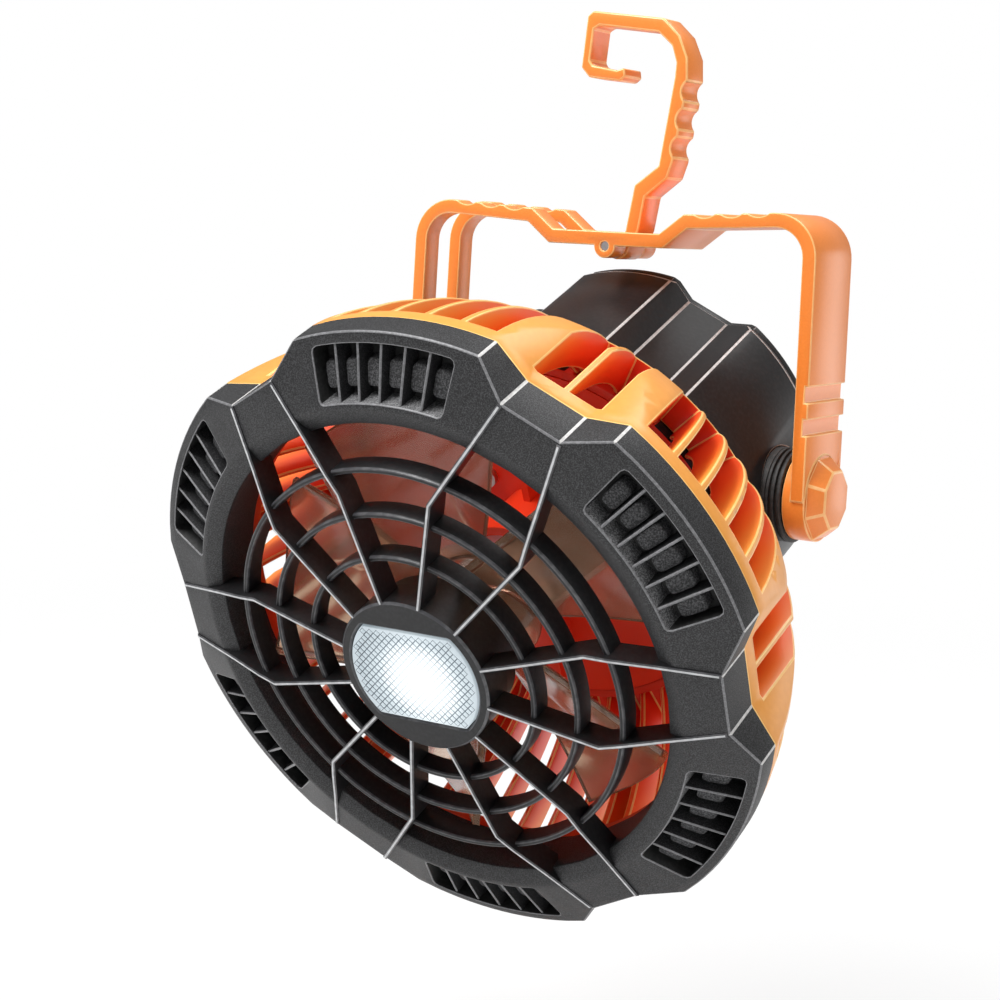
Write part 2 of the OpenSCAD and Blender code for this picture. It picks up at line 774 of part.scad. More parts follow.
module handle()
    color(deep_orange) place_handle() difference() {
        union() {
            handle_shape();
            translate([0, 0, pin_up]) rotate([90, 0, 0])
                cylinder(r = 3.3, h = handle_depth, center = true);
            for (s = [-1, 1]) translate([s * boss_x, 0, 0]) rotate([0, s * 90, 0])
                cylinder(r = boss_r, h = handle_half - boss_x);
        }
        translate([-handle_half - 5, -slot_w / 2, slot_foot + slot_w / 2])
            cube([handle_half + 5 + slot_end_x, slot_w, 100]);
        translate([-handle_half - 5, 0, slot_foot + slot_w / 2]) rotate([0, 90, 0])
            cylinder(r = slot_w / 2, h = 20);
        for (s = [-1, 1]) {
            translate([s * 40, 0, 0]) rotate([0, s * 90, 0])
                cylinder(r = pivot_r + running_gap, h = 40);
            for (z = [groove_foot, groove_foot + 2 * groove_w])
                translate([s * handle_half, 0, z + groove_w / 2])
                    cube([2 * groove_in, 2 * handle_depth, groove_w], center = true);
        }
        translate([0, 0, pin_up]) rotate([90, 0, 0]) cylinder(r = pin_r + eps, h = through, center = true);
    }

module knob(side)
    color(deep_orange) place_handle() translate([side * handle_half, 0, 0])
        rotate([0, side * 90, 0]) difference() {
            rotate([0, 0, 22.5]) {
                cylinder(r1 = boss_r + 0.2, r2 = boss_r - 3.6, h = knob_h, $fn = 8);
            }
            translate([0, 0, -1]) cylinder(r = 5.6, h = 4);
        }

module left_knob() knob(-1);

module right_knob() knob(1);

module hook_pin()
    color(steel) place_pin() rotate([90, 0, 0])
        cylinder(r = pin_r, h = handle_depth - 1, center = true);

// ---------- hook ----------

// outline of the hook from its pin up, in the plane of the handle
module hook_outline()
    difference() {
        polygon([
            [0.5, 0], [2.3, 4.6], [4.4, 17.3], [11.6, 22.8], [15, 47], [15.2, 51], [13.6, 55.6],
            [9.2, bend_up - 1], [-9.4, bend_up + 1], [-11.2, bend_up], [-12, 51.6], [-11, 50.2],
            [-3.2, 48.9], [-0.8, 49.6], [-0.4, 47.2], [-2, 45.9], [-12, 46.9], [-14.6, 49.6],
            [-13.4, bend_up + 3.6], [-11.6, bend_up + 5], [10.6, bend_up + 2.8], [15.8, 58.4],
            [18.6, 52.4], [19.1, 45.1], [15.9, 24], [14.4, 19.4], [7.9, 14.2], [6.4, 4.7], [3.4, -1]]);
        for (i = [0 : 2]) translate([17.9 - i * 1.15 + 3.1, 43.1 - i * 7.7]) circle(r = 3.6);
    }

module hook()
    color(deep_orange) place_pin() rotate([90, 0, 0]) difference() {
        union() {
            linear_extrude(2 * hook_half, center = true) hook_outline();
            cylinder(r = 3.6, h = 2 * hook_half, center = true);
        }
        cylinder(r = pin_r + running_gap, h = 60, center = true);
    }

front_frame();
vent_inserts();
lens();
reflector();
led_board();
lamp_cup();
intake_ring();
rear_housing();
rear_cover();
cover_screws();
frame_screws();
motor_mount();
motor_screws();
motor_can();
motor_bush();
battery_cells();
battery_holder();
circuit_board();
tact_switches();
usb_port();
charge_window();
pivot_pads();
pivot_screws();
fan();
motor_shaft();
fan_button();
lamp_button();
handle();
left_knob();
right_knob();
hook_pin();
hook();
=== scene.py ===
# %% [markdown]
# # A portable camping fan with a lamp in its hub
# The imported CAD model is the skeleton: it says how large each piece is, where it sits and how it moves.
# This lesson dresses it. Pieces that show get rounded edges and finer forms as new meshes, and what
# hides inside keeps its CAD mesh and gets a material.

# %% Load the frame
import json
import math
import bmesh
import bpy
from mathutils import Matrix, Vector
from mathutils.bvhtree import BVHTree


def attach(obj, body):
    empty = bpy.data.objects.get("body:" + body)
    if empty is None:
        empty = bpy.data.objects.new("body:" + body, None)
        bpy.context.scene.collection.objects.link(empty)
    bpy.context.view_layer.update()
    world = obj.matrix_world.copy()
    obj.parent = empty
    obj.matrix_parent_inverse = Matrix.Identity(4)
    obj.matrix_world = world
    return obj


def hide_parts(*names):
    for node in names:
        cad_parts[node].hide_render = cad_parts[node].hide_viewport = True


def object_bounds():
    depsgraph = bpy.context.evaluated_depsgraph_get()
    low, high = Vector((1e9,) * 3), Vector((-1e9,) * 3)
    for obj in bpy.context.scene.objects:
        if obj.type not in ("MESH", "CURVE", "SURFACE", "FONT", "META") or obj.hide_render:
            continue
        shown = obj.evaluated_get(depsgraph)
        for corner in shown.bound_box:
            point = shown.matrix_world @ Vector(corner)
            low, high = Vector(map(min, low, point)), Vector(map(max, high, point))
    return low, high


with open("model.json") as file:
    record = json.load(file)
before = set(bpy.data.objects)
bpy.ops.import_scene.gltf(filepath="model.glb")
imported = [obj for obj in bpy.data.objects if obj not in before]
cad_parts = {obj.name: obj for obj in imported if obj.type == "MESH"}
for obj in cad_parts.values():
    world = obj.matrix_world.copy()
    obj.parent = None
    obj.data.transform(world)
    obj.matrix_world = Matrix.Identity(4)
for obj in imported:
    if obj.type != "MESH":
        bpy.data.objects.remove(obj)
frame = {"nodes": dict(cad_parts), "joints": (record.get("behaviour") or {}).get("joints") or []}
cad_box = [list(corner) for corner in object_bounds()]
print("CAD box", cad_box)

# %% [markdown]
# The head hangs tilted between the arms of the handle, so it is easiest to model along its own axis,
# in millimetres, and to turn it into place at the end. The frame's joints hold the two facts needed:
# where the pivot is, and which way the fan's axis points. In the head's own coordinates z runs to the
# rear, and z = 0 is the plane of the front rim.

# %% The head's own coordinates
MM = 0.001
joints = {joint["name"]: joint for joint in frame["joints"]}
PIVOT = Vector(joints["head_tilt"]["pos_m"])
SPIN_AXIS = Vector(joints["fan_spin"]["axis"])
TILT = math.atan2(SPIN_AXIS.z, SPIN_AXIS.y)
PIVOT_DEPTH = 93.3
HEAD = (Matrix.Translation(PIVOT) @ Matrix.Rotation(TILT, 4, "X") @ Matrix.Scale(MM, 4)
        @ Matrix.Translation((0, -PIVOT_DEPTH, 0)) @ Matrix.Rotation(math.radians(-90), 4, "X"))
HEAD_INVERSE = HEAD.inverted()
print("tilt of the head in degrees", round(math.degrees(TILT), 2))

# %% [markdown]
# ## Helpers for all pieces
# Every piece ends the same way: its mesh is turned into place, its faces are made to point outwards,
# and the object rides on one body of the frame. Faces that meet at a low angle shade as one surface,
# and the rest keep a crisp edge. A face with many corners is a flat one and never shades as a curve.

# %% Finish a piece
SMOOTH_ANGLE = math.radians(32)
MOST_CURVED_CORNERS = 8


def finish_piece(bm, name, body, node, materials, place=None, recalculate=True):
    if place is not None:
        bmesh.ops.transform(bm, matrix=place, verts=bm.verts)
    if recalculate:
        bmesh.ops.recalc_face_normals(bm, faces=bm.faces)
    flat = bm.faces.layers.int.get("flat")
    for face in bm.faces:
        few_corners = len(face.verts) <= MOST_CURVED_CORNERS
        face.smooth = few_corners and not (flat and face[flat])
    mesh = bpy.data.meshes.new(name)
    bm.to_mesh(mesh)
    bm.free()
    mesh.set_sharp_from_angle(angle=SMOOTH_ANGLE)
    piece = bpy.data.objects.new(name, mesh)
    bpy.context.collection.objects.link(piece)
    for material in materials:
        mesh.materials.append(material)
    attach(piece, body)
    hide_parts(node)
    print(name, "has", len(mesh.polygons), "faces")
    return piece


print("faces shade as one surface below", round(math.degrees(SMOOTH_ANGLE)), "degrees")

# %% [markdown]
# Moulded plastic has no knife edges, so each edge that turns by more than a given angle is bevelled.
# The bevel isn't held back where edges crowd together, and a point may then overshoot. Each point that
# ends further from the old surface than the bevel is wide goes back onto it. The new faces can take a
# slot of their own, for a painted highlight or a painted shade on the rounded edge.

# %% Round the sharp edges
def sharp_edges(bm, least_degrees):
    least = math.radians(least_degrees)
    return [edge for edge in bm.edges
            if len(edge.link_faces) == 2 and edge.calc_face_angle(0) > least]


def round_edges(bm, width, edges, segments=2, painted_edge_slot=0):
    before = BVHTree.FromBMesh(bm)
    made = bmesh.ops.bevel(bm, geom=edges, offset=width, offset_type="OFFSET", segments=segments,
                           profile=0.5, affect="EDGES", clamp_overlap=False, loop_slide=False,
                           material=-1)
    bm.normal_update()
    strays = 0
    for vert in bm.verts:
        place, _, _, away = before.find_nearest(vert.co)
        if away > width:
            vert.co = place
            strays += 1
    flat = bm.faces.layers.int.get("flat")
    for face in made["faces"]:
        if flat:
            face[flat] = 0
        # painted highlight or painted shade on the new rounded faces
        if painted_edge_slot:
            face.material_index = painted_edge_slot
    print("   rounded", len(edges), "edges, pulled back", strays, "points")


# %% [markdown]
# A CAD node is made of loose triangles. Its copy is merged, and triangles that lie in one plane become
# one face, so that only real edges are left to round. A flat face with holes has a very long outline,
# which a renderer fills wrongly once its edges are rounded. Such faces are cut into triangles again,
# and a mark on them says that they shade flat.

# %% Copy a CAD node
MERGE_DISTANCE = 2e-6
FLAT_ANGLE = math.radians(0.6)


def cad_copy(node):
    bm = bmesh.new()
    bm.from_mesh(frame["nodes"][node].data)
    bmesh.ops.remove_doubles(bm, verts=bm.verts, dist=MERGE_DISTANCE)
    bmesh.ops.dissolve_limit(bm, angle_limit=FLAT_ANGLE, verts=bm.verts, edges=bm.edges,
                             use_dissolve_boundaries=False)
    flat = bm.faces.layers.int.new("flat")
    large = [face for face in bm.faces if len(face.verts) > MOST_CURVED_CORNERS]
    for face in large:
        face[flat] = 1
    bmesh.ops.triangulate(bm, faces=large, quad_method="BEAUTY", ngon_method="BEAUTY")
    print("copied", node, "with", len(large), "large flat faces")
    return bm


# %% [markdown]
# ## Materials
# The black shells are moulded in a charcoal plastic with a fine spark-eroded grain. Seen close, it is
# dark with paler specks. One noise in object coordinates drives both the specks and the bumps.

# %% Material helpers
def new_material(name):
    material = bpy.data.materials.new(name)
    material.use_nodes = True
    return material, material.node_tree, material.node_tree.nodes["Principled BSDF"]


def noise(tree, scale):
    place = tree.nodes.new("ShaderNodeTexCoord")
    texture = tree.nodes.new("ShaderNodeTexNoise")
    texture.inputs["Scale"].default_value = scale
    tree.links.new(place.outputs["Object"], texture.inputs["Vector"])
    return texture.outputs["Fac"]


def ramp(tree, value, stops):
    node = tree.nodes.new("ShaderNodeValToRGB")
    node.color_ramp.elements[0].position = stops[0][0]
    node.color_ramp.elements[0].color = (*stops[0][1], 1)
    node.color_ramp.elements[1].position = stops[-1][0]
    node.color_ramp.elements[1].color = (*stops[-1][1], 1)
    for position, colour in stops[1:-1]:
        node.color_ramp.elements.new(position).color = (*colour, 1)
    tree.links.new(value, node.inputs["Fac"])
    return node.outputs["Color"]


def bump(tree, shader, height, strength, distance):
    node = tree.nodes.new("ShaderNodeBump")
    node.inputs["Strength"].default_value = strength
    node.inputs["Distance"].default_value = distance
    tree.links.new(height, node.inputs["Height"])
    tree.links.new(node.outputs["Normal"], shader.inputs["Normal"])


def grained_plastic(name, dark, pale, roughness, grain_scale, depth, specular=0.5):
    material, tree, shader = new_material(name)
    grain = noise(tree, grain_scale)
    tree.links.new(ramp(tree, grain, [(0.42, dark), (0.68, pale)]), shader.inputs["Base Color"])
    shader.inputs["Roughness"].default_value = roughness
    shader.inputs["Specular IOR Level"].default_value = specular
    bump(tree, shader, grain, 0.5, depth)
    print("plastic:", name)
    return material


# %% [markdown]
# Each finish gives the colour of its grain's low and high spots, its roughness, how fine the grain is,
# and how deep. A last number, where there is one, dims the gloss. The charcoal plastic has four: the
# grained face, a paler painted highlight for its rounded edges, an almost white painted highlight for
# the sharpest corners, and a smoother one for the grille and the drum.

# %% Charcoal plastics
charcoal = grained_plastic("charcoal", (0.007, 0.007, 0.0075), (0.05, 0.05, 0.053),
                           0.5, 3200, 0.00008, 0.42)
# painted highlight for the rounded edges of the charcoal plastic
charcoal_painted_highlight = grained_plastic("charcoal_painted_highlight", (0.14, 0.14, 0.145), (0.22, 0.22, 0.23),
                                0.4, 1500, 0.00005)
# brighter painted highlight for the sharpest corners
charcoal_painted_shine = grained_plastic("charcoal_painted_shine", (0.5, 0.49, 0.48), (0.66, 0.65, 0.64),
                                 0.35, 900, 0.00002)
charcoal_smooth = grained_plastic("charcoal_smooth", (0.007, 0.007, 0.008), (0.014, 0.014, 0.015),
                                  0.42, 900, 0.00002, 0.35)
# painted shade for the walls and floors of the vent pockets
vent_painted_shade = grained_plastic("vent_painted_shade", (0.006, 0.006, 0.006), (0.018, 0.018, 0.018),
                             0.6, 900, 0.00003)
web_highlight = grained_plastic("web_highlight", (0.46, 0.47, 0.48), (0.6, 0.61, 0.62),
                                0.35, 500, 0.00001)
web_sheen = grained_plastic("web_sheen", (0.05, 0.05, 0.055), (0.1, 0.1, 0.105),
                            0.35, 500, 0.00002)
rubber_black = grained_plastic("rubber_black", (0.012, 0.012, 0.012), (0.03, 0.03, 0.03),
                               0.62, 900, 0.00006)
foam_grey = grained_plastic("foam_grey", (0.02, 0.02, 0.021), (0.11, 0.11, 0.115),
                            0.75, 2400, 0.00015)
# painted light for the inner walls of the vents, which are charcoal plastic like the face
wall_painted_light = grained_plastic("wall_painted_light", (0.05, 0.05, 0.052), (0.24, 0.24, 0.245),
                            0.6, 2600, 0.00012)

# %% [markdown]
# The handle and the finned shell are two oranges: the handle is redder and glossier. Both get a paler
# copy for their rounded edges, as a painted highlight.

# %% Orange plastics
shell_orange = grained_plastic("shell_orange", (0.81, 0.33, 0.055), (0.84, 0.35, 0.062),
                               0.36, 500, 0.00001)
# painted highlight for the rounded edges of the shell's fins
shell_painted_highlight = grained_plastic("shell_painted_highlight", (0.98, 0.6, 0.2), (1.0, 0.66, 0.25), 0.3, 300, 0.00001)
handle_orange = grained_plastic("handle_orange", (0.87, 0.25, 0.04), (0.9, 0.265, 0.045),
                                0.3, 1500, 0.00001)
# painted highlight for the rounded edges of the handle, hook and knobs
handle_painted_highlight = grained_plastic("handle_painted_highlight", (0.97, 0.5, 0.18), (1.0, 0.56, 0.22), 0.28, 700, 0.00001)
rubber_orange = grained_plastic("rubber_orange", (0.86, 0.2, 0.02), (0.92, 0.26, 0.04),
                                0.55, 900, 0.00003)

# %% [markdown]
# The finned shell is lit through, and its pockets get painted shade: yellow-orange at the outside,
# turning to a deep red further in. So this plastic takes its colour from the distance to the head's
# axis, which is the length of the cross product of the axis with the way from the pivot.

# %% A plastic that deepens towards the axis
def axis_distance(tree):
    place = tree.nodes.new("ShaderNodeTexCoord")
    offset = tree.nodes.new("ShaderNodeVectorMath")
    offset.operation = "SUBTRACT"
    offset.inputs[1].default_value = PIVOT
    tree.links.new(place.outputs["Object"], offset.inputs[0])
    cross = tree.nodes.new("ShaderNodeVectorMath")
    cross.operation = "CROSS_PRODUCT"
    cross.inputs[1].default_value = SPIN_AXIS.normalized()
    tree.links.new(offset.outputs["Vector"], cross.inputs[0])
    reach = tree.nodes.new("ShaderNodeVectorMath")
    reach.operation = "LENGTH"
    tree.links.new(cross.outputs["Vector"], reach.inputs[0])
    return reach.outputs["Value"]


def deepening_plastic(name, near, far, stops, roughness):
    material, tree, shader = new_material(name)
    share = tree.nodes.new("ShaderNodeMapRange")
    share.inputs["From Min"].default_value = near * MM
    share.inputs["From Max"].default_value = far * MM
    tree.links.new(axis_distance(tree), share.inputs["Value"])
    tree.links.new(ramp(tree, share.outputs["Result"], stops), shader.inputs["Base Color"])
    shader.inputs["Roughness"].default_value = roughness
    bump(tree, shader, noise(tree, 400), 0.3, 0.00002)
    print("plastic:", name, "deepens from", far, "to", near, "mm")
    return material


# painted shade in the shell's pockets, deepening towards the axis
shell_painted_shade = deepening_plastic("shell_painted_shade", 60, 88, [(0.0, (0.86, 0.045, 0.008)),
                                                      (0.43, (0.9, 0.1, 0.012)),
                                                      (0.64, (0.92, 0.19, 0.022)),
                                                      (0.82, (0.92, 0.3, 0.045)),
                                                      (1.0, (0.92, 0.4, 0.07))], 0.4)
# painted shade, a deeper red, for the drum's front end inside the shell
shell_floor_painted_shade = deepening_plastic("shell_floor_painted_shade", 48, 72, [(0.0, (0.7, 0.035, 0.008)),
                                                        (1.0, (0.8, 0.05, 0.01))], 0.5)

# %% [markdown]
# The fan's blades are a smoke-brown clear plastic. Thin clear plastic shows what is behind it, so most
# of the light goes straight through, and only the rounded edges of the blades look solid. These edges
# get an opaque dark brown, a painted shade.

# %% Smoke plastic
smoke, smoke_tree, smoke_shader = new_material("smoke_plastic")
smoke_shader.inputs["Roughness"].default_value = 0.14
smoke_shader.inputs["Transmission Weight"].default_value = 0.78
smoke_shader.inputs["IOR"].default_value = 1.45
smoke_tree.links.new(ramp(smoke_tree, noise(smoke_tree, 60),
                          [(0.3, (0.66, 0.44, 0.3)), (0.7, (0.74, 0.52, 0.37))]),
                     smoke_shader.inputs["Base Color"])
# painted shade for the rounded edges of the clear blades
smoke_painted_edge_shade = grained_plastic("smoke_painted_edge_shade", (0.22, 0.09, 0.05), (0.28, 0.12, 0.07), 0.25, 200, 0.00001)

# %% [markdown]
# Screws, shaft, motor and sockets are bare metal with a faint brushing. A few finishes are only for
# pieces inside, which show through the grille and the slots.

# %% Metals and inner finishes
BRUSHING_SCALE = 900


def metal(name, colour, roughness):
    material, tree, shader = new_material(name)
    brushing = noise(tree, BRUSHING_SCALE)
    shader.inputs["Metallic"].default_value = 1.0
    tree.links.new(ramp(tree, brushing, [(0.3, tuple(0.85 * c for c in colour)), (0.7, colour)]),
                   shader.inputs["Base Color"])
    shader.inputs["Roughness"].default_value = roughness
    bump(tree, shader, brushing, 0.2, 0.00002)
    print("metal:", name)
    return material


steel = metal("zinc_steel", (0.66, 0.66, 0.68), 0.32)
bronze = metal("bronze", (0.72, 0.5, 0.22), 0.35)
mirror_silver = metal("mirror_silver", (0.92, 0.92, 0.93), 0.08)
cell_blue = grained_plastic("cell_blue", (0.03, 0.14, 0.36), (0.04, 0.18, 0.45), 0.3, 120, 0.00001)
board_green = grained_plastic("board_green", (0.012, 0.09, 0.035), (0.02, 0.14, 0.05),
                              0.35, 400, 0.00002)
board_white = grained_plastic("board_white", (0.72, 0.72, 0.68), (0.82, 0.82, 0.78),
                              0.4, 400, 0.00002)
light_pipe = grained_plastic("light_pipe", (0.7, 0.8, 0.72), (0.8, 0.9, 0.82), 0.15, 200, 0.00001)

# %% [markdown]
# The lamp is lit. Its clear lens glows white, brightest over the chip in the middle, with a cold tint
# towards the rim. The glow is a ramp on the distance from the lens's middle, in object coordinates.
# The valleys between its prisms fall off faster, which draws the pattern of diamonds near the rim.

# %% The lens materials
LENS_MIDDLE = HEAD @ Vector((2, 1, -16))
GLOW_REACH = 19


def glowing_plastic(name, colour, stops):
    material, tree, shader = new_material(name)
    place = tree.nodes.new("ShaderNodeTexCoord")
    offset = tree.nodes.new("ShaderNodeVectorMath")
    offset.operation = "DISTANCE"
    offset.inputs[1].default_value = LENS_MIDDLE
    tree.links.new(place.outputs["Object"], offset.inputs[0])
    reach = tree.nodes.new("ShaderNodeMapRange")
    reach.inputs["From Max"].default_value = GLOW_REACH * MM
    tree.links.new(offset.outputs["Value"], reach.inputs["Value"])
    tree.links.new(ramp(tree, reach.outputs["Result"], stops), shader.inputs["Emission Color"])
    shader.inputs["Emission Strength"].default_value = 1.0
    shader.inputs["Base Color"].default_value = (*colour, 1)
    shader.inputs["Roughness"].default_value = 0.1
    print("glowing plastic:", name)
    return material


lens_clear = glowing_plastic("lens_clear", (0.3, 0.33, 0.35),
                             [(0.0, (1.0, 1.0, 1.0)), (0.45, (0.84, 0.88, 0.9)),
                              (0.7, (0.42, 0.48, 0.51)), (1.0, (0.24, 0.29, 0.32))])
lens_valley = glowing_plastic("lens_valley", (0.05, 0.06, 0.07),
                              [(0.0, (1.0, 1.0, 1.0)), (0.4, (0.66, 0.72, 0.75)),
                               (0.62, (0.12, 0.16, 0.19)), (1.0, (0.02, 0.03, 0.04))])

# %% [markdown]
# ## Camera
# The photograph was matched by a least-squares fit of a pinhole camera to the fan's own corners. It
# looks from the right of the fan's front and a little from above, with a slight roll, and the pivot
# lies right of the picture's middle and above it.

# %% The camera
CAMERA_AZIMUTH = math.radians(31.19)
CAMERA_ELEVATION = math.radians(7.9)
CAMERA_ROLL = math.radians(-2.73)
CAMERA_DISTANCE = 580.76 * MM
PIVOT_RIGHT = 32.68 * MM
PIVOT_UP = 7.63 * MM
FOCAL_LENGTH_RATIO = 2.0077
SENSOR = 36.0


def make_camera():
    back = Vector((math.sin(CAMERA_AZIMUTH) * math.cos(CAMERA_ELEVATION),
                   -math.cos(CAMERA_AZIMUTH) * math.cos(CAMERA_ELEVATION),
                   math.sin(CAMERA_ELEVATION)))
    level_right = Vector((0, 0, 1)).cross(back).normalized()
    level_up = back.cross(level_right)
    right = level_right * math.cos(CAMERA_ROLL) - level_up * math.sin(CAMERA_ROLL)
    up = level_up * math.cos(CAMERA_ROLL) + level_right * math.sin(CAMERA_ROLL)
    data = bpy.data.cameras.new("camera")
    data.sensor_width = SENSOR
    data.lens = FOCAL_LENGTH_RATIO * SENSOR
    data.clip_start = 0.01
    camera = bpy.data.objects.new("camera", data)
    bpy.context.collection.objects.link(camera)
    place = PIVOT - PIVOT_RIGHT * right - PIVOT_UP * up + CAMERA_DISTANCE * back
    camera.matrix_world = Matrix((
        (right.x, up.x, back.x, place.x), (right.y, up.y, back.y, place.y),
        (right.z, up.z, back.z, place.z), (0, 0, 0, 1)))
    bpy.context.scene.camera = camera
    return camera


camera = make_camera()
print("camera at", [round(value, 3) for value in camera.matrix_world.translation])

# %% [markdown]
# ## The front ring
# The ring has six lobes with a low stretch between each pair. It is made from one circle of points at
# the rear, extruded again and again: up the outer wall, over the sloping face, round the lip of the air
# outlet and down inside it. Each point remembers its station, its place within a lobe in degrees, so
# every new loop can be drawn by a rule instead of by hand.

# %% Sizes of the front ring
LOBES, FIRST_LOBE = 6, 30
LOBE_R, LOBE_HALF = 88.0, 17.7
VALLEY_R, VALLEY_EDGE, VALLEY_Z = 81.3, 24.2, -4.4
VALLEY_MIDDLE = 30
CREASE_R, CREASE_Z, CREASE_EDGE = 71.0, -7.0, 21.8
OUTLET_R, OUTLET_EDGE = 66.0, 20.3
FRAME_BACK = 8.0
VENT_HALF, VENT_IN, VENT_OUT, VENT_DEPTH = 14.0, 72.0, 85.2, 6.5
VENT_ROUND = 1.3
NEAR_END = VENT_HALF - math.degrees(VENT_ROUND / VENT_OUT)
RUN_MIDDLE = 21
NEARLY = 0.01
STATIONS = ([-VALLEY_MIDDLE, -VALLEY_EDGE, -RUN_MIDDLE, -LOBE_HALF, -VENT_HALF, -NEAR_END]
            + [VENT_HALF * k / 6 for k in range(-5, 6)]
            + [NEAR_END, VENT_HALF, LOBE_HALF, RUN_MIDDLE, VALLEY_EDGE])


def lobe_angle(sector):
    return FIRST_LOBE + 360 / LOBES * sector


def polar(radius, degrees, z=0.0):
    angle = math.radians(degrees)
    return Vector((radius * math.cos(angle), radius * math.sin(angle), z))


print("stations in each lobe:", len(STATIONS))

# %% [markdown]
# A lobe's outline is an arc with a straight run down to the low stretch on each side. The inner loops
# are circles, on which the stations slide together a little, so that the long creases between lobe and
# low stretch run straight across the face.

# %% Rules for the outline and the face
def outline_point(station, z_lobe, z_valley):
    side = -1 if station < 0 else 1
    if abs(station) <= LOBE_HALF:
        return polar(LOBE_R, station, z_lobe)
    corner = polar(LOBE_R, side * LOBE_HALF, z_lobe)
    low = polar(VALLEY_R, side * VALLEY_EDGE, z_valley)
    if abs(station) <= VALLEY_EDGE:
        share = (abs(station) - LOBE_HALF) / (VALLEY_EDGE - LOBE_HALF)
        return corner.lerp(low, share)
    chord = VALLEY_R * math.cos(math.radians(VALLEY_MIDDLE - VALLEY_EDGE))
    return polar(chord / math.cos(math.radians(VALLEY_MIDDLE - abs(station))), station, z_valley)


def inner_point(station, radius, z, edge):
    reach = abs(station)
    if reach <= VALLEY_EDGE:
        turned = station * edge / VALLEY_EDGE
    else:
        past = (reach - VALLEY_EDGE) * (VALLEY_MIDDLE - edge) / (VALLEY_MIDDLE - VALLEY_EDGE)
        turned = math.copysign(edge + past, station)
    return polar(radius, turned, z)


def face_point(station, share):
    low = inner_point(station, CREASE_R, CREASE_Z, CREASE_EDGE)
    high = outline_point(station, 0, VALLEY_Z)
    if abs(station) <= VENT_HALF + NEARLY:
        low = polar(CREASE_R, station, CREASE_Z)
    return low.lerp(high, share)


def face_share(radius):
    return (radius - CREASE_R) / (LOBE_R - CREASE_R)


run = outline_point(VALLEY_EDGE, 0, VALLEY_Z) - outline_point(LOBE_HALF, 0, VALLEY_Z)
print("straight run beside a lobe", round(run.length, 1), "mm")

# %% [markdown]
# The vents are pockets with rounded corners. The two loops that bound them have their corner points
# drawn in by a small share of the rounding.

# %% The loops of the ring, from the rear of its wall to the rear of the outlet
CORNER_DRAW = 0.3
LIP = [(CREASE_R - 0.3, CREASE_Z - 0.1, CREASE_EDGE), (CREASE_R - 0.9, CREASE_Z, CREASE_EDGE),
       (67.0, -6.1, 20.8), (66.3, -5.7, 20.5),
       (OUTLET_R, -5.1, OUTLET_EDGE), (OUTLET_R, FRAME_BACK, OUTLET_EDGE)]


def vent_corner(station, radius, inward):
    if abs(abs(station) - VENT_HALF) > NEARLY:
        return face_point(station, face_share(radius))
    drawn_in = VENT_HALF - CORNER_DRAW * (VENT_HALF - NEAR_END)
    return face_point(math.copysign(drawn_in, station), face_share(radius + CORNER_DRAW * inward))


LOOPS = [
    lambda station: outline_point(station, FRAME_BACK, FRAME_BACK),
    lambda station: outline_point(station, 0, VALLEY_Z),
    lambda station: vent_corner(station, VENT_OUT, -VENT_ROUND),
    lambda station: face_point(station, face_share(VENT_OUT - VENT_ROUND)),
    lambda station: face_point(station, face_share(VENT_IN + VENT_ROUND)),
    lambda station: vent_corner(station, VENT_IN, VENT_ROUND),
]
LOOPS += [lambda station, lip=lip: inner_point(station, *lip) for lip in LIP]
RIM_LEVEL = 1
VENT_LEVELS = (2, 3, 4, 5)
print(len(LOOPS), "loops of", LOBES * len(STATIONS), "points")

# %% [markdown]
# The surface starts as a circle of points. Each extrusion makes the next loop, the rule puts its points
# in place, and a bridge from the last loop to the first closes the ring.

# %% The ring's surface
def next_loop(bm, edges):
    made = bmesh.ops.extrude_edge_only(bm, edges=edges)
    new_edges = [part for part in made["geom"] if isinstance(part, bmesh.types.BMEdge)]
    new_points = [part for part in made["geom"] if isinstance(part, bmesh.types.BMVert)]
    return new_edges, new_points


def ring_surface():
    bm = bmesh.new()
    station_of = bm.verts.layers.int.new("station")
    loop_of = bm.verts.layers.int.new("loop")
    count = LOBES * len(STATIONS)
    made = bmesh.ops.create_circle(bm, segments=count, radius=LOBE_R)
    points = sorted(made["verts"], key=lambda v: math.atan2(v.co.y, v.co.x) % math.tau)
    for index, vert in enumerate(points):
        vert[station_of] = index

    def place(verts, level):
        for vert in verts:
            sector, number = divmod(vert[station_of], len(STATIONS))
            turn = Matrix.Rotation(math.radians(lobe_angle(sector)), 3, "Z")
            vert.co = turn @ LOOPS[level](STATIONS[number])
            vert[loop_of] = level

    place(points, 0)
    first = bm.edges[:]
    edges = first
    for level in range(1, len(LOOPS)):
        edges, points = next_loop(bm, edges)
        place(points, level)
    bmesh.ops.bridge_loops(bm, edges=first + edges)
    bmesh.ops.recalc_face_normals(bm, faces=bm.faces)
    print("surface of the ring:", len(bm.faces), "faces")
    return bm, station_of, loop_of


# %% [markdown]
# The vents need no boolean: the faces between the two vent loops are extruded inwards as one region.
# The pocket's walls and floor get a painted shade, and the wall nearest to the axis a paler grained one,
# painted light, because it shows as a pale strip in the photograph.

# %% Sink the vents
# DEEP holds painted shade in the vents, INNER_WALL painted light, EDGE and SHINE painted highlights
FACE, EDGE, DEEP, INNER_WALL, SHINE = range(5)
INNER_WALL_END = VENT_IN + 0.5


def turned_by(vert, station_of):
    return abs(STATIONS[vert[station_of] % len(STATIONS)])


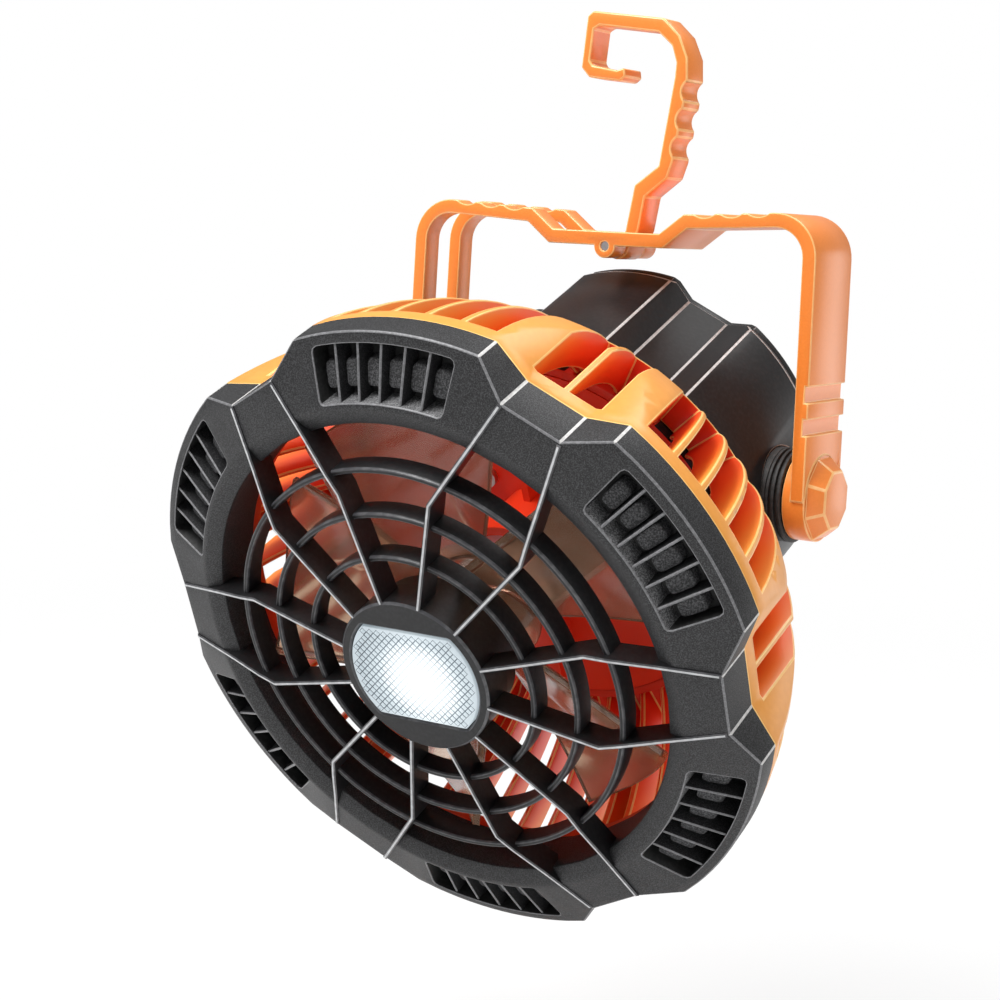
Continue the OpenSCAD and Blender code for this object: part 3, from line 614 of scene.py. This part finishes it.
def sink_vents(bm, station_of, loop_of):
    pocket = [face for face in bm.faces
              if all(turned_by(vert, station_of) <= VENT_HALF + NEARLY and vert[loop_of] in VENT_LEVELS
                     for vert in face.verts)]
    made = bmesh.ops.extrude_face_region(bm, geom=pocket)
    floor = [part for part in made["geom"] if isinstance(part, bmesh.types.BMFace)]
    low = [part for part in made["geom"] if isinstance(part, bmesh.types.BMVert)]
    bmesh.ops.delete(bm, geom=[face for face in pocket if face.is_valid], context="FACES")
    bmesh.ops.translate(bm, verts=low, vec=(0, 0, VENT_DEPTH))
    walls = {face for vert in low for face in vert.link_faces}
    for face in walls | set(floor):
        face.material_index = DEEP
        middle = face.calc_center_median()
        if math.hypot(middle.x, middle.y) < INNER_WALL_END:
            face.material_index = INNER_WALL
    bm.normal_update()
    print("faces sunk into vents:", len(pocket))


# %% [markdown]
# Five ribs cross each vent. They widen towards the floor, as moulded ribs do to leave the mould, and
# their tops are bevelled and pale, a painted highlight.

# %% Ribs across the vents
RIB_PLACES = (-2, -1, 0, 1, 2)
RIB_LENGTH, RIB_DEPTH = VENT_OUT - VENT_IN - 0.1, VENT_DEPTH - 0.2
RIB_TOP_HALF, RIB_FOOT_HALF = 0.35, 0.6
RIB_SET_BACK, RIB_BEVEL = 0.5, 0.25
RIB_TOP_SHARE = 0.5


def face_height(radius):
    return CREASE_Z - CREASE_Z * (radius - CREASE_R) / (LOBE_R - CREASE_R)


def vent_turn(sector, step):
    return Matrix.Rotation(math.radians(lobe_angle(sector) + step * VENT_HALF / 3), 4, "Z")


def vent_ribs(bm):
    before = set(bm.faces)
    tops = set()
    for sector in range(LOBES):
        for step in RIB_PLACES:
            made = bmesh.ops.create_cube(bm, size=1)
            for vert in made["verts"]:
                along, across, deep = vert.co
                radius = (VENT_IN + VENT_OUT) / 2 + along * RIB_LENGTH
                half = RIB_TOP_HALF if deep < 0 else RIB_FOOT_HALF
                height = face_height(radius) + RIB_SET_BACK
                if deep < 0:
                    tops.add(vert)
                else:
                    height += RIB_DEPTH
                vert.co = vent_turn(sector, step) @ Vector((radius, math.copysign(half, across), height))
    fronts = [edge for edge in bm.edges
              if tops.issuperset(edge.verts) and edge.calc_length() > RIB_LENGTH / 2]
    bmesh.ops.bevel(bm, geom=fronts, offset=RIB_BEVEL, offset_type="OFFSET", segments=1,
                    profile=0.5, affect="EDGES", material=-1)
    bm.normal_update()
    for face in bm.faces:
        # the bevelled tops take EDGE, a painted highlight
        if face not in before and -face.normal.z > RIB_TOP_SHARE:
            face.material_index = EDGE
    print("ribs in the vents:", LOBES * len(RIB_PLACES))


# %% [markdown]
# In the photograph fine pale lines outline the vents, the rim and the creases. They are rounded edges
# that catch the light, so three sets of edges are rounded: the mouths of the vents, the front rim, and
# the uprights where a lobe meets a low stretch. The uprights are the brightest.

# %% The finished front ring
MOUTH_ROUND, RIM_ROUND = 0.32, 0.42
LEAST_TURN = 0.12
UPRIGHT_REACH = 0.6


def away_from_line(point, start, end):
    along = (end - start).normalized()
    reach = (point - start).dot(along)
    inside = UPRIGHT_REACH < reach < (end - start).length
    return (point - start - along * reach).length if inside else math.inf


def is_upright(edge, station_of, loop_of):
    one, two = edge.verts
    return (one[station_of] == two[station_of] and {one[loop_of], two[loop_of]} == {0, RIM_LEVEL}
            and turned_by(one, station_of) in (LOBE_HALF, VALLEY_EDGE))


def is_front_rim(edge, station_of, loop_of):
    one, two = edge.verts
    return one[station_of] != two[station_of] and one[loop_of] == two[loop_of] == RIM_LEVEL


def front_ring():
    bm, station_of, loop_of = ring_surface()
    sink_vents(bm, station_of, loop_of)
    mouths = [edge for edge in bm.edges
              if {face.material_index for face in edge.link_faces} in ({FACE, DEEP}, {FACE, INNER_WALL})]
    # the rounded faces take EDGE, a painted highlight
    round_edges(bm, MOUTH_ROUND, mouths, painted_edge_slot=EDGE)
    turning = [edge for edge in bm.edges
               if len(edge.link_faces) == 2 and edge.calc_face_angle(0) > LEAST_TURN]
    uprights = [edge for edge in turning if is_upright(edge, station_of, loop_of)]
    lines = [[vert.co.copy() for vert in edge.verts] for edge in uprights]
    rims = [edge for edge in turning if edge in uprights or is_front_rim(edge, station_of, loop_of)]
    round_edges(bm, RIM_ROUND, rims, painted_edge_slot=EDGE)
    # faces along the uprights take SHINE, a brighter painted highlight
    for face in bm.faces:
        middle = face.calc_center_median()
        if face.material_index == EDGE and any(away_from_line(middle, *line) < UPRIGHT_REACH
                                               for line in lines):
            face.material_index = SHINE
    vent_ribs(bm)
    return finish_piece(bm, "front_ring", "head", "front_frame",
                        [charcoal, charcoal_painted_highlight, vent_painted_shade, wall_painted_light, charcoal_painted_shine], place=HEAD)


front_ring()

# %% [markdown]
# Behind the ribs lies coarse grey foam, one block in each of a vent's six gaps. Each block is a cube
# with rounded upright corners and a softened top. The uprights are found by how far they run along the
# axis, and the edges of the top by their sharp turn and smaller rise.

# %% Foam pads in the vents
PAD_PLACES = (-2.5, -1.5, -0.5, 0.5, 1.5, 2.5)
PAD_R, PAD_LENGTH, PAD_WIDTH, PAD_DEPTH = 77.6, 6.4, 4.6, 3.1
PAD_SET_BACK = 3.2
PAD_CORNER, PAD_EDGE = 1.3, 0.5
UPRIGHT_RISE, TOP_RISE = 2.9, 2.5
CORNER_TURN = 0.9
BACKWARD = 0.5


def rise(edge):
    return abs(edge.verts[0].co.z - edge.verts[1].co.z)


def foam_pads():
    bm = bmesh.new()
    for sector in range(LOBES):
        for step in PAD_PLACES:
            made = bmesh.ops.create_cube(bm, size=1)
            for vert in made["verts"]:
                along, across, deep = vert.co
                radius = PAD_R + along * PAD_LENGTH
                height = face_height(radius) + PAD_SET_BACK + (0 if deep < 0 else PAD_DEPTH)
                vert.co = vent_turn(sector, step) @ Vector((radius, across * PAD_WIDTH * radius / PAD_R,
                                                            height))
    uprights = [edge for edge in bm.edges if rise(edge) > UPRIGHT_RISE]
    bmesh.ops.bevel(bm, geom=uprights, offset=PAD_CORNER, segments=3, profile=0.5, affect="EDGES",
                    material=-1)
    tops = [edge for edge in bm.edges
            if len(edge.link_faces) == 2 and edge.calc_face_angle(0) > CORNER_TURN
            and rise(edge) < TOP_RISE and all(face.normal.z < BACKWARD for face in edge.link_faces)]
    bmesh.ops.bevel(bm, geom=tops, offset=PAD_EDGE, segments=2, profile=0.5, affect="EDGES", material=-1)
    print("foam blocks:", LOBES * len(PAD_PLACES))
    return finish_piece(bm, "vent_foam", "head", "vent_inserts", [foam_grey], place=HEAD)


foam_pads()

# %% [markdown]
# ## The grille
# Twelve tall spokes run out from the hub, straight at first, and then turn towards the low stretches of
# the ring. Their thin front edges catch the light, and their sides are dark. The grille is domed, so a
# profile gives the height of its front for each distance from the axis.

# %% The grille's dome
SPOKE_START, BEND_R, SPOKE_TURN = 21.0, 51.0, 15.0
WEB_PROFILE = [(0, -15.5), (21.5, -15.5), (BEND_R, -12.9), (56.5, -11.7), (66, -8.9), (71, -7.6),
               (VALLEY_R, VALLEY_Z - 0.5)]


def web_front(radius):
    for (r0, z0), (r1, z1) in zip(WEB_PROFILE, WEB_PROFILE[1:]):
        if radius <= r1:
            return z0 + (z1 - z0) * (radius - r0) / (r1 - r0)
    return WEB_PROFILE[-1][1]


print("height of the dome", round(VALLEY_Z - web_front(0), 1), "mm")

# %% [markdown]
# A spoke is a bent line of points, extruded backwards into a ribbon and then thickened. It is deep over
# the air outlet and shallow where it lies on the ring's face. Before the ribbon gets its thickness its
# faces must look the right way, because the thickness grows to one side only.

# %% One spoke
SPOKE_T, SPOKE_DEEP, SPOKE_SHALLOW = 1.2, 7.6, 1.6
SPOKE_STEP_R = OUTLET_R + 1
TIP_R, TIP_TURN = VALLEY_R - 0.4, VALLEY_EDGE - 0.1
OUTER_SHARES = (0.18, 0.36, 0.49, 0.63, 0.8, 1.0)


def bent_line(bm, points):
    made = bmesh.ops.create_vert(bm, co=points[0])
    vert = made["vert"][0]
    for point in points[1:]:
        step = bmesh.ops.extrude_vert_indiv(bm, verts=[vert])
        vert = step["verts"][0]
        vert.co = point
    return vert


def join(bm, other):
    mesh = bpy.data.meshes.new("part")
    other.to_mesh(mesh)
    other.free()
    bm.from_mesh(mesh)
    bpy.data.meshes.remove(mesh)


def spoke(middle, side):
    start = polar(SPOKE_START, side * SPOKE_TURN)
    knee = polar(BEND_R, side * SPOKE_TURN)
    tip = polar(TIP_R, side * TIP_TURN)
    path = [start, start.lerp(knee, 0.5), knee] + [knee.lerp(tip, share) for share in OUTER_SHARES]
    turn = Matrix.Rotation(math.radians(middle), 4, "Z")
    aside = polar(SPOKE_T / 2, side * SPOKE_TURN + 90)
    ribbon = bmesh.new()
    bent_line(ribbon, [turn @ Vector((p.x + aside.x, p.y + aside.y, web_front(p.length))) for p in path])
    _, rear_points = next_loop(ribbon, ribbon.edges[:])
    for vert in rear_points:
        over_outlet = math.hypot(vert.co.x, vert.co.y) < SPOKE_STEP_R
        vert.co.z += SPOKE_DEEP if over_outlet else SPOKE_SHALLOW
    ribbon.normal_update()
    across = turn @ aside
    if sum(face.normal.dot(across) for face in ribbon.faces) < 0:
        bmesh.ops.reverse_faces(ribbon, faces=ribbon.faces[:])
    ribbon.normal_update()
    bmesh.ops.solidify(ribbon, geom=ribbon.faces[:], thickness=SPOKE_T)
    return ribbon


# %% [markdown]
# The twelve spokes are mirror pairs, one pair for each lobe. Their front edges get one narrow bevel.
# Faces that look straight ahead then make the bright line, slanting ones have a sheen, and the sides
# stay dark.

# %% All spokes, with bright front edges
BODY, BRIGHT, SHEEN = range(3)
SPOKE_ROUND = 0.33
STRAIGHT_AHEAD, FORWARD, SLANTING = 0.85, 0.7, 0.4


def spokes():
    bm = bmesh.new()
    for sector in range(LOBES):
        for side in (-1, 1):
            join(bm, spoke(lobe_angle(sector), side))
    bmesh.ops.recalc_face_normals(bm, faces=bm.faces)
    fronts = [edge for edge in bm.edges
              if len(edge.link_faces) == 2 and edge.calc_face_angle(0) > CORNER_TURN
              and max(-face.normal.z for face in edge.link_faces) > FORWARD]
    round_edges(bm, SPOKE_ROUND, fronts, segments=1)
    for face in bm.faces:
        front = -face.normal.z
        face.material_index = BRIGHT if front > STRAIGHT_AHEAD else SHEEN if front > SLANTING else BODY
    print("spokes:", 2 * LOBES)
    return bm


# %% [markdown]
# Three lower rings tie the spokes together. A ring is a small closed section with a domed front, spun
# once round the axis. Its section is given as half widths and how far behind the front they lie.

# %% Rings of the grille
RING_R = (55.5, 44.0, 32.5)
RING_SET_BACK, RING_STEPS = 1.8, 120
RING_SECTION = [(1.0, 5.8), (0.8, 0.7), (0.55, 0.15), (0.3, 0.0)]
LEAST_SLANT, MOST_SLANT = 0.3, 0.97


def spun(section, steps):
    bm = bmesh.new()
    last = bent_line(bm, [Vector((r, 0, z)) for r, z in section])
    bm.verts.ensure_lookup_table()
    bmesh.ops.contextual_create(bm, geom=[bm.verts[0], last])
    bmesh.ops.spin(bm, geom=bm.verts[:] + bm.edges[:], cent=(0, 0, 0), axis=(0, 0, 1),
                   angle=math.tau, steps=steps, use_merge=True)
    bmesh.ops.recalc_face_normals(bm, faces=bm.faces)
    return bm


def web_ring(radius):
    top = web_front(radius) + RING_SET_BACK
    inner = [(radius - half, top + behind) for half, behind in RING_SECTION]
    outer = [(radius + half, top + behind) for half, behind in reversed(RING_SECTION)]
    ring = spun(inner + outer, RING_STEPS)
    print("ring of the grille at", radius, "mm")
    for face in ring.faces:
        face.material_index = SHEEN if LEAST_SLANT < -face.normal.z < MOST_SLANT else BODY
    return ring


# %% [markdown]
# The hub is a round boss with an opening in the shape of the lens, a circle with two flats. It grows
# like the front ring: a circle at the rear is extruded up the wall, over the face and down inside. Two
# small chamfers on the way have a sheen.

# %% The hub and the finished grille
LENS_R, LENS_FLAT = 18.45, 13.15
HUB_STEPS = 96
HUB_BACK = -6.3
HUB_WALL = [(21.7, -14.9), (21.1, -15.5)]
HUB_OPENING = [(0.9, -15.5), (0.4, -15.1), (0.2, -12.2)]
CHAMFER_FRONT, CHAMFER_BACK = -15.45, -15.2


def lens_edge(vert, grow, z):
    out = Vector((vert.co.x, vert.co.y, 0)).normalized() * (LENS_R + grow)
    limit = LENS_FLAT + grow
    vert.co = (out.x, max(-limit, min(limit, out.y)), z)


def hub():
    bm = bmesh.new()
    bmesh.ops.create_circle(bm, segments=HUB_STEPS, radius=HUB_WALL[0][0])
    bmesh.ops.translate(bm, verts=bm.verts, vec=(0, 0, HUB_BACK))
    edges = bm.edges[:]
    for radius, z in HUB_WALL:
        edges, points = next_loop(bm, edges)
        for vert in points:
            out = Vector((vert.co.x, vert.co.y, 0)).normalized() * radius
            vert.co = (out.x, out.y, z)
    for grow, z in HUB_OPENING:
        edges, points = next_loop(bm, edges)
        for vert in points:
            lens_edge(vert, grow, z)
    bmesh.ops.recalc_face_normals(bm, faces=bm.faces)
    for face in bm.faces:
        on_chamfer = CHAMFER_FRONT < face.calc_center_median().z < CHAMFER_BACK
        face.material_index = SHEEN if on_chamfer else BODY
    return bm


def grille():
    bm = spokes()
    for radius in RING_R:
        join(bm, web_ring(radius))
    join(bm, hub())
    return finish_piece(bm, "grille", "head", "front_frame", [charcoal_smooth, web_highlight, web_sheen],
                        place=HEAD)


grille()

# %% [markdown]
# The lens is a clear disc with two flats. Its face is covered with small prisms that spread the light,
# set at 45 degrees so that they read as diamonds. A fine grid is turned and cut to the disc, each cell
# is inset, which leaves a narrow valley round it, and its middle is poked up into a pyramid.

# %% Lens
LENS_BACK, LENS_FRONT, LENS_EDGE = -11.8, -15.6, 0.4
PRISM_CELLS, PRISM_FIELD = 36, 27
PRISM_R, PRISM_FLAT = LENS_R - 0.3, LENS_FLAT - 0.2
PRISM_VALLEY, PRISM_HEIGHT, PRISM_LIFT = 0.2, 0.45, 0.02


def prism_sheet():
    bm = bmesh.new()
    bmesh.ops.create_grid(bm, x_segments=PRISM_CELLS, y_segments=PRISM_CELLS, size=PRISM_FIELD)
    bmesh.ops.rotate(bm, verts=bm.verts, cent=(0, 0, 0), matrix=Matrix.Rotation(math.pi / 4, 3, "Z"))
    outside = [face for face in bm.faces
               if any(v.co.length > PRISM_R or abs(v.co.y) > PRISM_FLAT for v in face.verts)]
    bmesh.ops.delete(bm, geom=outside, context="FACES")
    bmesh.ops.translate(bm, verts=bm.verts, vec=(0, 0, LENS_FRONT - PRISM_LIFT))
    cells = bm.faces[:]
    valleys = bmesh.ops.inset_individual(bm, faces=cells, thickness=PRISM_VALLEY, depth=0)
    for face in valleys["faces"]:
        face.material_index = 1
    bm.normal_update()
    up = -1 if cells[0].normal.z > 0 else 1
    bmesh.ops.poke(bm, faces=cells, offset=PRISM_HEIGHT * up)
    print("prisms on the lens:", len(cells))
    return bm


def lens():
    bm = bmesh.new()
    bmesh.ops.create_circle(bm, cap_ends=True, segments=HUB_STEPS, radius=LENS_R)
    for vert in bm.verts:
        lens_edge(vert, 0, LENS_BACK)
    made = bmesh.ops.extrude_face_region(bm, geom=bm.faces[:])
    top = [part for part in made["geom"] if isinstance(part, bmesh.types.BMVert)]
    bmesh.ops.translate(bm, verts=top, vec=(0, 0, LENS_FRONT - LENS_BACK))
    rim = [edge for edge in bm.edges if all(abs(v.co.z - LENS_FRONT) < NEARLY for v in edge.verts)]
    bmesh.ops.bevel(bm, geom=rim, offset=LENS_EDGE, segments=2, profile=0.5, affect="EDGES", material=-1)
    join(bm, prism_sheet())
    return finish_piece(bm, "lens_prisms", "head", "lens", [lens_clear, lens_valley], place=HEAD,
                        recalculate=False)


lens()

# %% [markdown]
# ## The intake ring
# The orange ring is a moulding of curved fins. Its outer faces are pale orange, the pockets between
# the fins turn to a deep red of painted shade, and each fin has a rounded edge with a painted
# highlight. The CAD copy already has the fins, so it only needs rounded edges and a finish for each
# kind of face.

# %% Intake ring
# POCKET takes painted shade and FIN_EDGE a painted highlight
OUTER, POCKET, FIN_EDGE = range(3)
SHELL_ROUND, SHELL_TURN = 0.4, 50
OUTWARD = 0.35


def head_point(point):
    return HEAD_INVERSE @ point


def outward_share(face):
    middle = head_point(face.calc_center_median())
    normal = (HEAD_INVERSE.to_3x3() @ face.normal).normalized()
    return normal.dot(Vector((middle.x, middle.y, 0)).normalized())


def intake_ring():
    bm = cad_copy("intake_ring")
    for face in bm.faces:
        face.material_index = OUTER if outward_share(face) > OUTWARD else POCKET
    round_edges(bm, SHELL_ROUND * MM, sharp_edges(bm, SHELL_TURN), painted_edge_slot=FIN_EDGE)
    return finish_piece(bm, "intake_shell", "head", "intake_ring",
                        [shell_orange, shell_painted_shade, shell_painted_highlight], recalculate=False)


intake_ring()

# %% [markdown]
# The black drum behind it has four channels along it, whose corners are blunt, so edges that turn by
# little are rounded too, and their rounded faces get a painted highlight. Its front end closes the
# finned shell and is painted red as painted shade, like the shell's pockets, as far back as the place
# where the drum comes out of the shell.

# %% Battery drum
# CORNER holds a painted highlight, RED_END painted shade
CORNER, RED_END = 1, 2
DRUM_ROUND, DRUM_TURN = 0.4, 24
DRUM_SHOWS_FROM = 66


def battery_drum():
    bm = cad_copy("rear_housing")
    round_edges(bm, DRUM_ROUND * MM, sharp_edges(bm, DRUM_TURN), painted_edge_slot=CORNER)
    for face in bm.faces:
        if head_point(face.calc_center_median()).z < DRUM_SHOWS_FROM:
            face.material_index = RED_END
    return finish_piece(bm, "battery_drum", "head", "rear_housing",
                        [charcoal_smooth, charcoal_painted_shine, shell_floor_painted_shade], recalculate=False)


battery_drum()

# %% [markdown]
# ## Handle, hook and the other mouldings
# These are plain mouldings with rounded edges. Where a piece has a second material, it goes on the
# rounded edges as a painted highlight, and on the fan's blades as a painted dark shade. The cover and
# the buttons are rounded least, because a pressed button slides close to the walls of its pocket.

# %% Simple mouldings
MOULDING_TURN = 30


def rounded_copy(node, name, body, width, finishes):
    bm = cad_copy(node)
    # the last material goes on the rounded edges: a painted highlight, on the fan a painted shade
    round_edges(bm, width * MM, sharp_edges(bm, MOULDING_TURN), painted_edge_slot=len(finishes) - 1)
    return finish_piece(bm, name, body, node, finishes, recalculate=False)


orange_pair = [handle_orange, handle_painted_highlight]
rounded_copy("rear_cover", "back_plate", "head", 0.15, [charcoal_smooth, charcoal_painted_highlight])
rounded_copy("handle", "carry_handle", "handle", 0.35, orange_pair)
rounded_copy("hook", "hanging_hook", "hook", 0.5, orange_pair)
rounded_copy("left_knob", "knob_left", "handle", 0.5, orange_pair)
rounded_copy("right_knob", "knob_right", "handle", 0.5, orange_pair)
rounded_copy("pivot_pads", "ribbed_pads", "head", 0.2, [rubber_black])
rounded_copy("fan", "fan_wheel", "fan", 0.35, [smoke, smoke_painted_edge_shade])
rounded_copy("fan_button", "button_fan", "fan_button", 0.2, [rubber_orange])
rounded_copy("lamp_button", "button_lamp", "lamp_button", 0.2, [rubber_orange])

# %% [markdown]
# ## Carried-over pieces
# What hides inside keeps its CAD mesh. It still gets a finish, because it shows through the grille and
# the slots.

# %% Finishes for the CAD nodes
def dress(material, *nodes):
    for node in nodes:
        data = frame["nodes"][node].data
        data.materials.clear()
        data.materials.append(material)
    print(material.name, "on", ", ".join(nodes))


dress(mirror_silver, "reflector")
dress(board_white, "led_board")
dress(charcoal_smooth, "lamp_cup", "battery_holder", "tact_switches")
# the motor mount takes the pockets' painted shade
dress(shell_painted_shade, "motor_mount")
dress(steel, "cover_screws", "frame_screws", "motor_screws", "motor_can", "usb_port", "pivot_screws",
      "motor_shaft", "hook_pin")
dress(bronze, "motor_bush")
dress(cell_blue, "battery_cells")
dress(board_green, "circuit_board")
dress(light_pipe, "charge_window")

# %% [markdown]
# ## Floor, lights and world
# The fan hangs a little above a plain pale floor, and a pale world fills the shadows. To the camera the
# backdrop is plain white: where the light path is a camera ray, or one that went through clear plastic,
# a white glow is mixed over the lit surface.

# %% White for the camera
def white_for_camera(tree, lit, strength, clear_from=None):
    path = tree.nodes.new("ShaderNodeLightPath")
    glow = tree.nodes.new("ShaderNodeEmission")
    glow.inputs["Color"].default_value = (1, 1, 1, 1)
    direct = tree.nodes.new("ShaderNodeMath")
    direct.operation = "MAXIMUM"
    tree.links.new(path.outputs["Is Camera Ray"], direct.inputs[0])
    tree.links.new(path.outputs["Is Transmission Ray"], direct.inputs[1])
    share = tree.nodes.new("ShaderNodeMath")
    share.operation = "MULTIPLY"
    share.inputs[1].default_value = strength
    tree.links.new(direct.outputs["Value"], share.inputs[0])
    if clear_from:
        place = tree.nodes.new("ShaderNodeTexCoord")
        away = tree.nodes.new("ShaderNodeVectorMath")
        away.operation = "LENGTH"
        tree.links.new(place.outputs["Object"], away.inputs[0])
        fade = tree.nodes.new("ShaderNodeMapRange")
        fade.inputs["From Min"].default_value = clear_from
        fade.inputs["From Max"].default_value = 3 * clear_from
        fade.inputs["To Min"].default_value = strength
        fade.inputs["To Max"].default_value = 1.0
        tree.links.new(away.outputs["Value"], fade.inputs["Value"])
        tree.links.new(fade.outputs["Result"], share.inputs[1])
    mix = tree.nodes.new("ShaderNodeMixShader")
    tree.links.new(share.outputs["Value"], mix.inputs["Fac"])
    tree.links.new(lit, mix.inputs[1])
    tree.links.new(glow.outputs["Emission"], mix.inputs[2])
    return mix.outputs["Shader"]


# %% [markdown]
# The floor is one large square below the fan, and the world is an even pale fill. Both use the white
# above. The floor takes a little less of it near the fan, so that it keeps a soft shadow.

# %% Floor and world
FLOOR_GAP, FLOOR_HALF = 0.06, 6
FLOOR_WHITE, FLOOR_CLEAR_FROM = 0.8, 0.3
WORLD_STRENGTH = 0.35


def make_floor():
    material, tree, shader = new_material("floor_pale")
    shader.inputs["Base Color"].default_value = (0.86, 0.86, 0.86, 1)
    shader.inputs["Roughness"].default_value = 0.9
    surface = white_for_camera(tree, shader.outputs["BSDF"], FLOOR_WHITE, FLOOR_CLEAR_FROM)
    tree.links.new(surface, tree.nodes["Material Output"].inputs["Surface"])
    bm = bmesh.new()
    bmesh.ops.create_grid(bm, x_segments=1, y_segments=1, size=FLOOR_HALF)
    bmesh.ops.translate(bm, verts=bm.verts, vec=(0, 0, cad_box[0][2] - FLOOR_GAP))
    mesh = bpy.data.meshes.new("floor")
    bm.to_mesh(mesh)
    bm.free()
    floor = bpy.data.objects.new("floor", mesh)
    mesh.materials.append(material)
    bpy.context.collection.objects.link(floor)


def make_world():
    world = bpy.data.worlds.new("studio")
    bpy.context.scene.world = world
    world.use_nodes = True
    tree = world.node_tree
    fill = tree.nodes["Background"]
    fill.inputs["Color"].default_value = (1, 1, 1, 1)
    fill.inputs["Strength"].default_value = WORLD_STRENGTH
    tree.links.new(white_for_camera(tree, fill.outputs["Background"], 1.0),
                   tree.nodes["World Output"].inputs["Surface"])


make_floor()
make_world()
print("the floor lies", FLOOR_GAP, "m below the fan")

# %% [markdown]
# A large soft lamp stands in front, a second to the right and a third behind and above. A small weak
# one shines along the right arm: it stands where the camera would see it mirrored in the arm's outer
# face, so that face gets the soft glare that it has in the photograph.

# %% Lamps
ARM_FACE = Vector((0.067, -0.004, cad_box[1][2] - 0.085))
OUTWARDS_RIGHT = Vector((1, 0, 0))


def soft_lamp(name, place, size, power):
    data = bpy.data.lights.new(name, "AREA")
    data.size = size
    data.energy = power
    lamp = bpy.data.objects.new(name, data)
    bpy.context.collection.objects.link(lamp)
    lamp.location = place
    aim = PIVOT - Vector(place)
    lamp.rotation_euler = aim.to_track_quat("-Z", "Y").to_euler()
    print(name, "at", [round(value, 2) for value in place], "with", power, "W")


def mirrored_place(seen_on, normal, reach):
    eye = camera.matrix_world.translation
    ray = (seen_on - eye).normalized()
    return seen_on + reach * ray.reflect(normal)


soft_lamp("key_lamp", (-0.35, -0.62, 0.95), 0.6, 20)
soft_lamp("side_lamp", (1.4, -0.3, 0.5), 0.6, 2.5)
soft_lamp("rim_lamp", mirrored_place(ARM_FACE, OUTWARDS_RIGHT, 0.55), 0.24, 0.3)
soft_lamp("top_lamp", (0.3, 0.7, 1.3), 0.9, 12)
bpy.context.scene.view_settings.view_transform = "Standard"
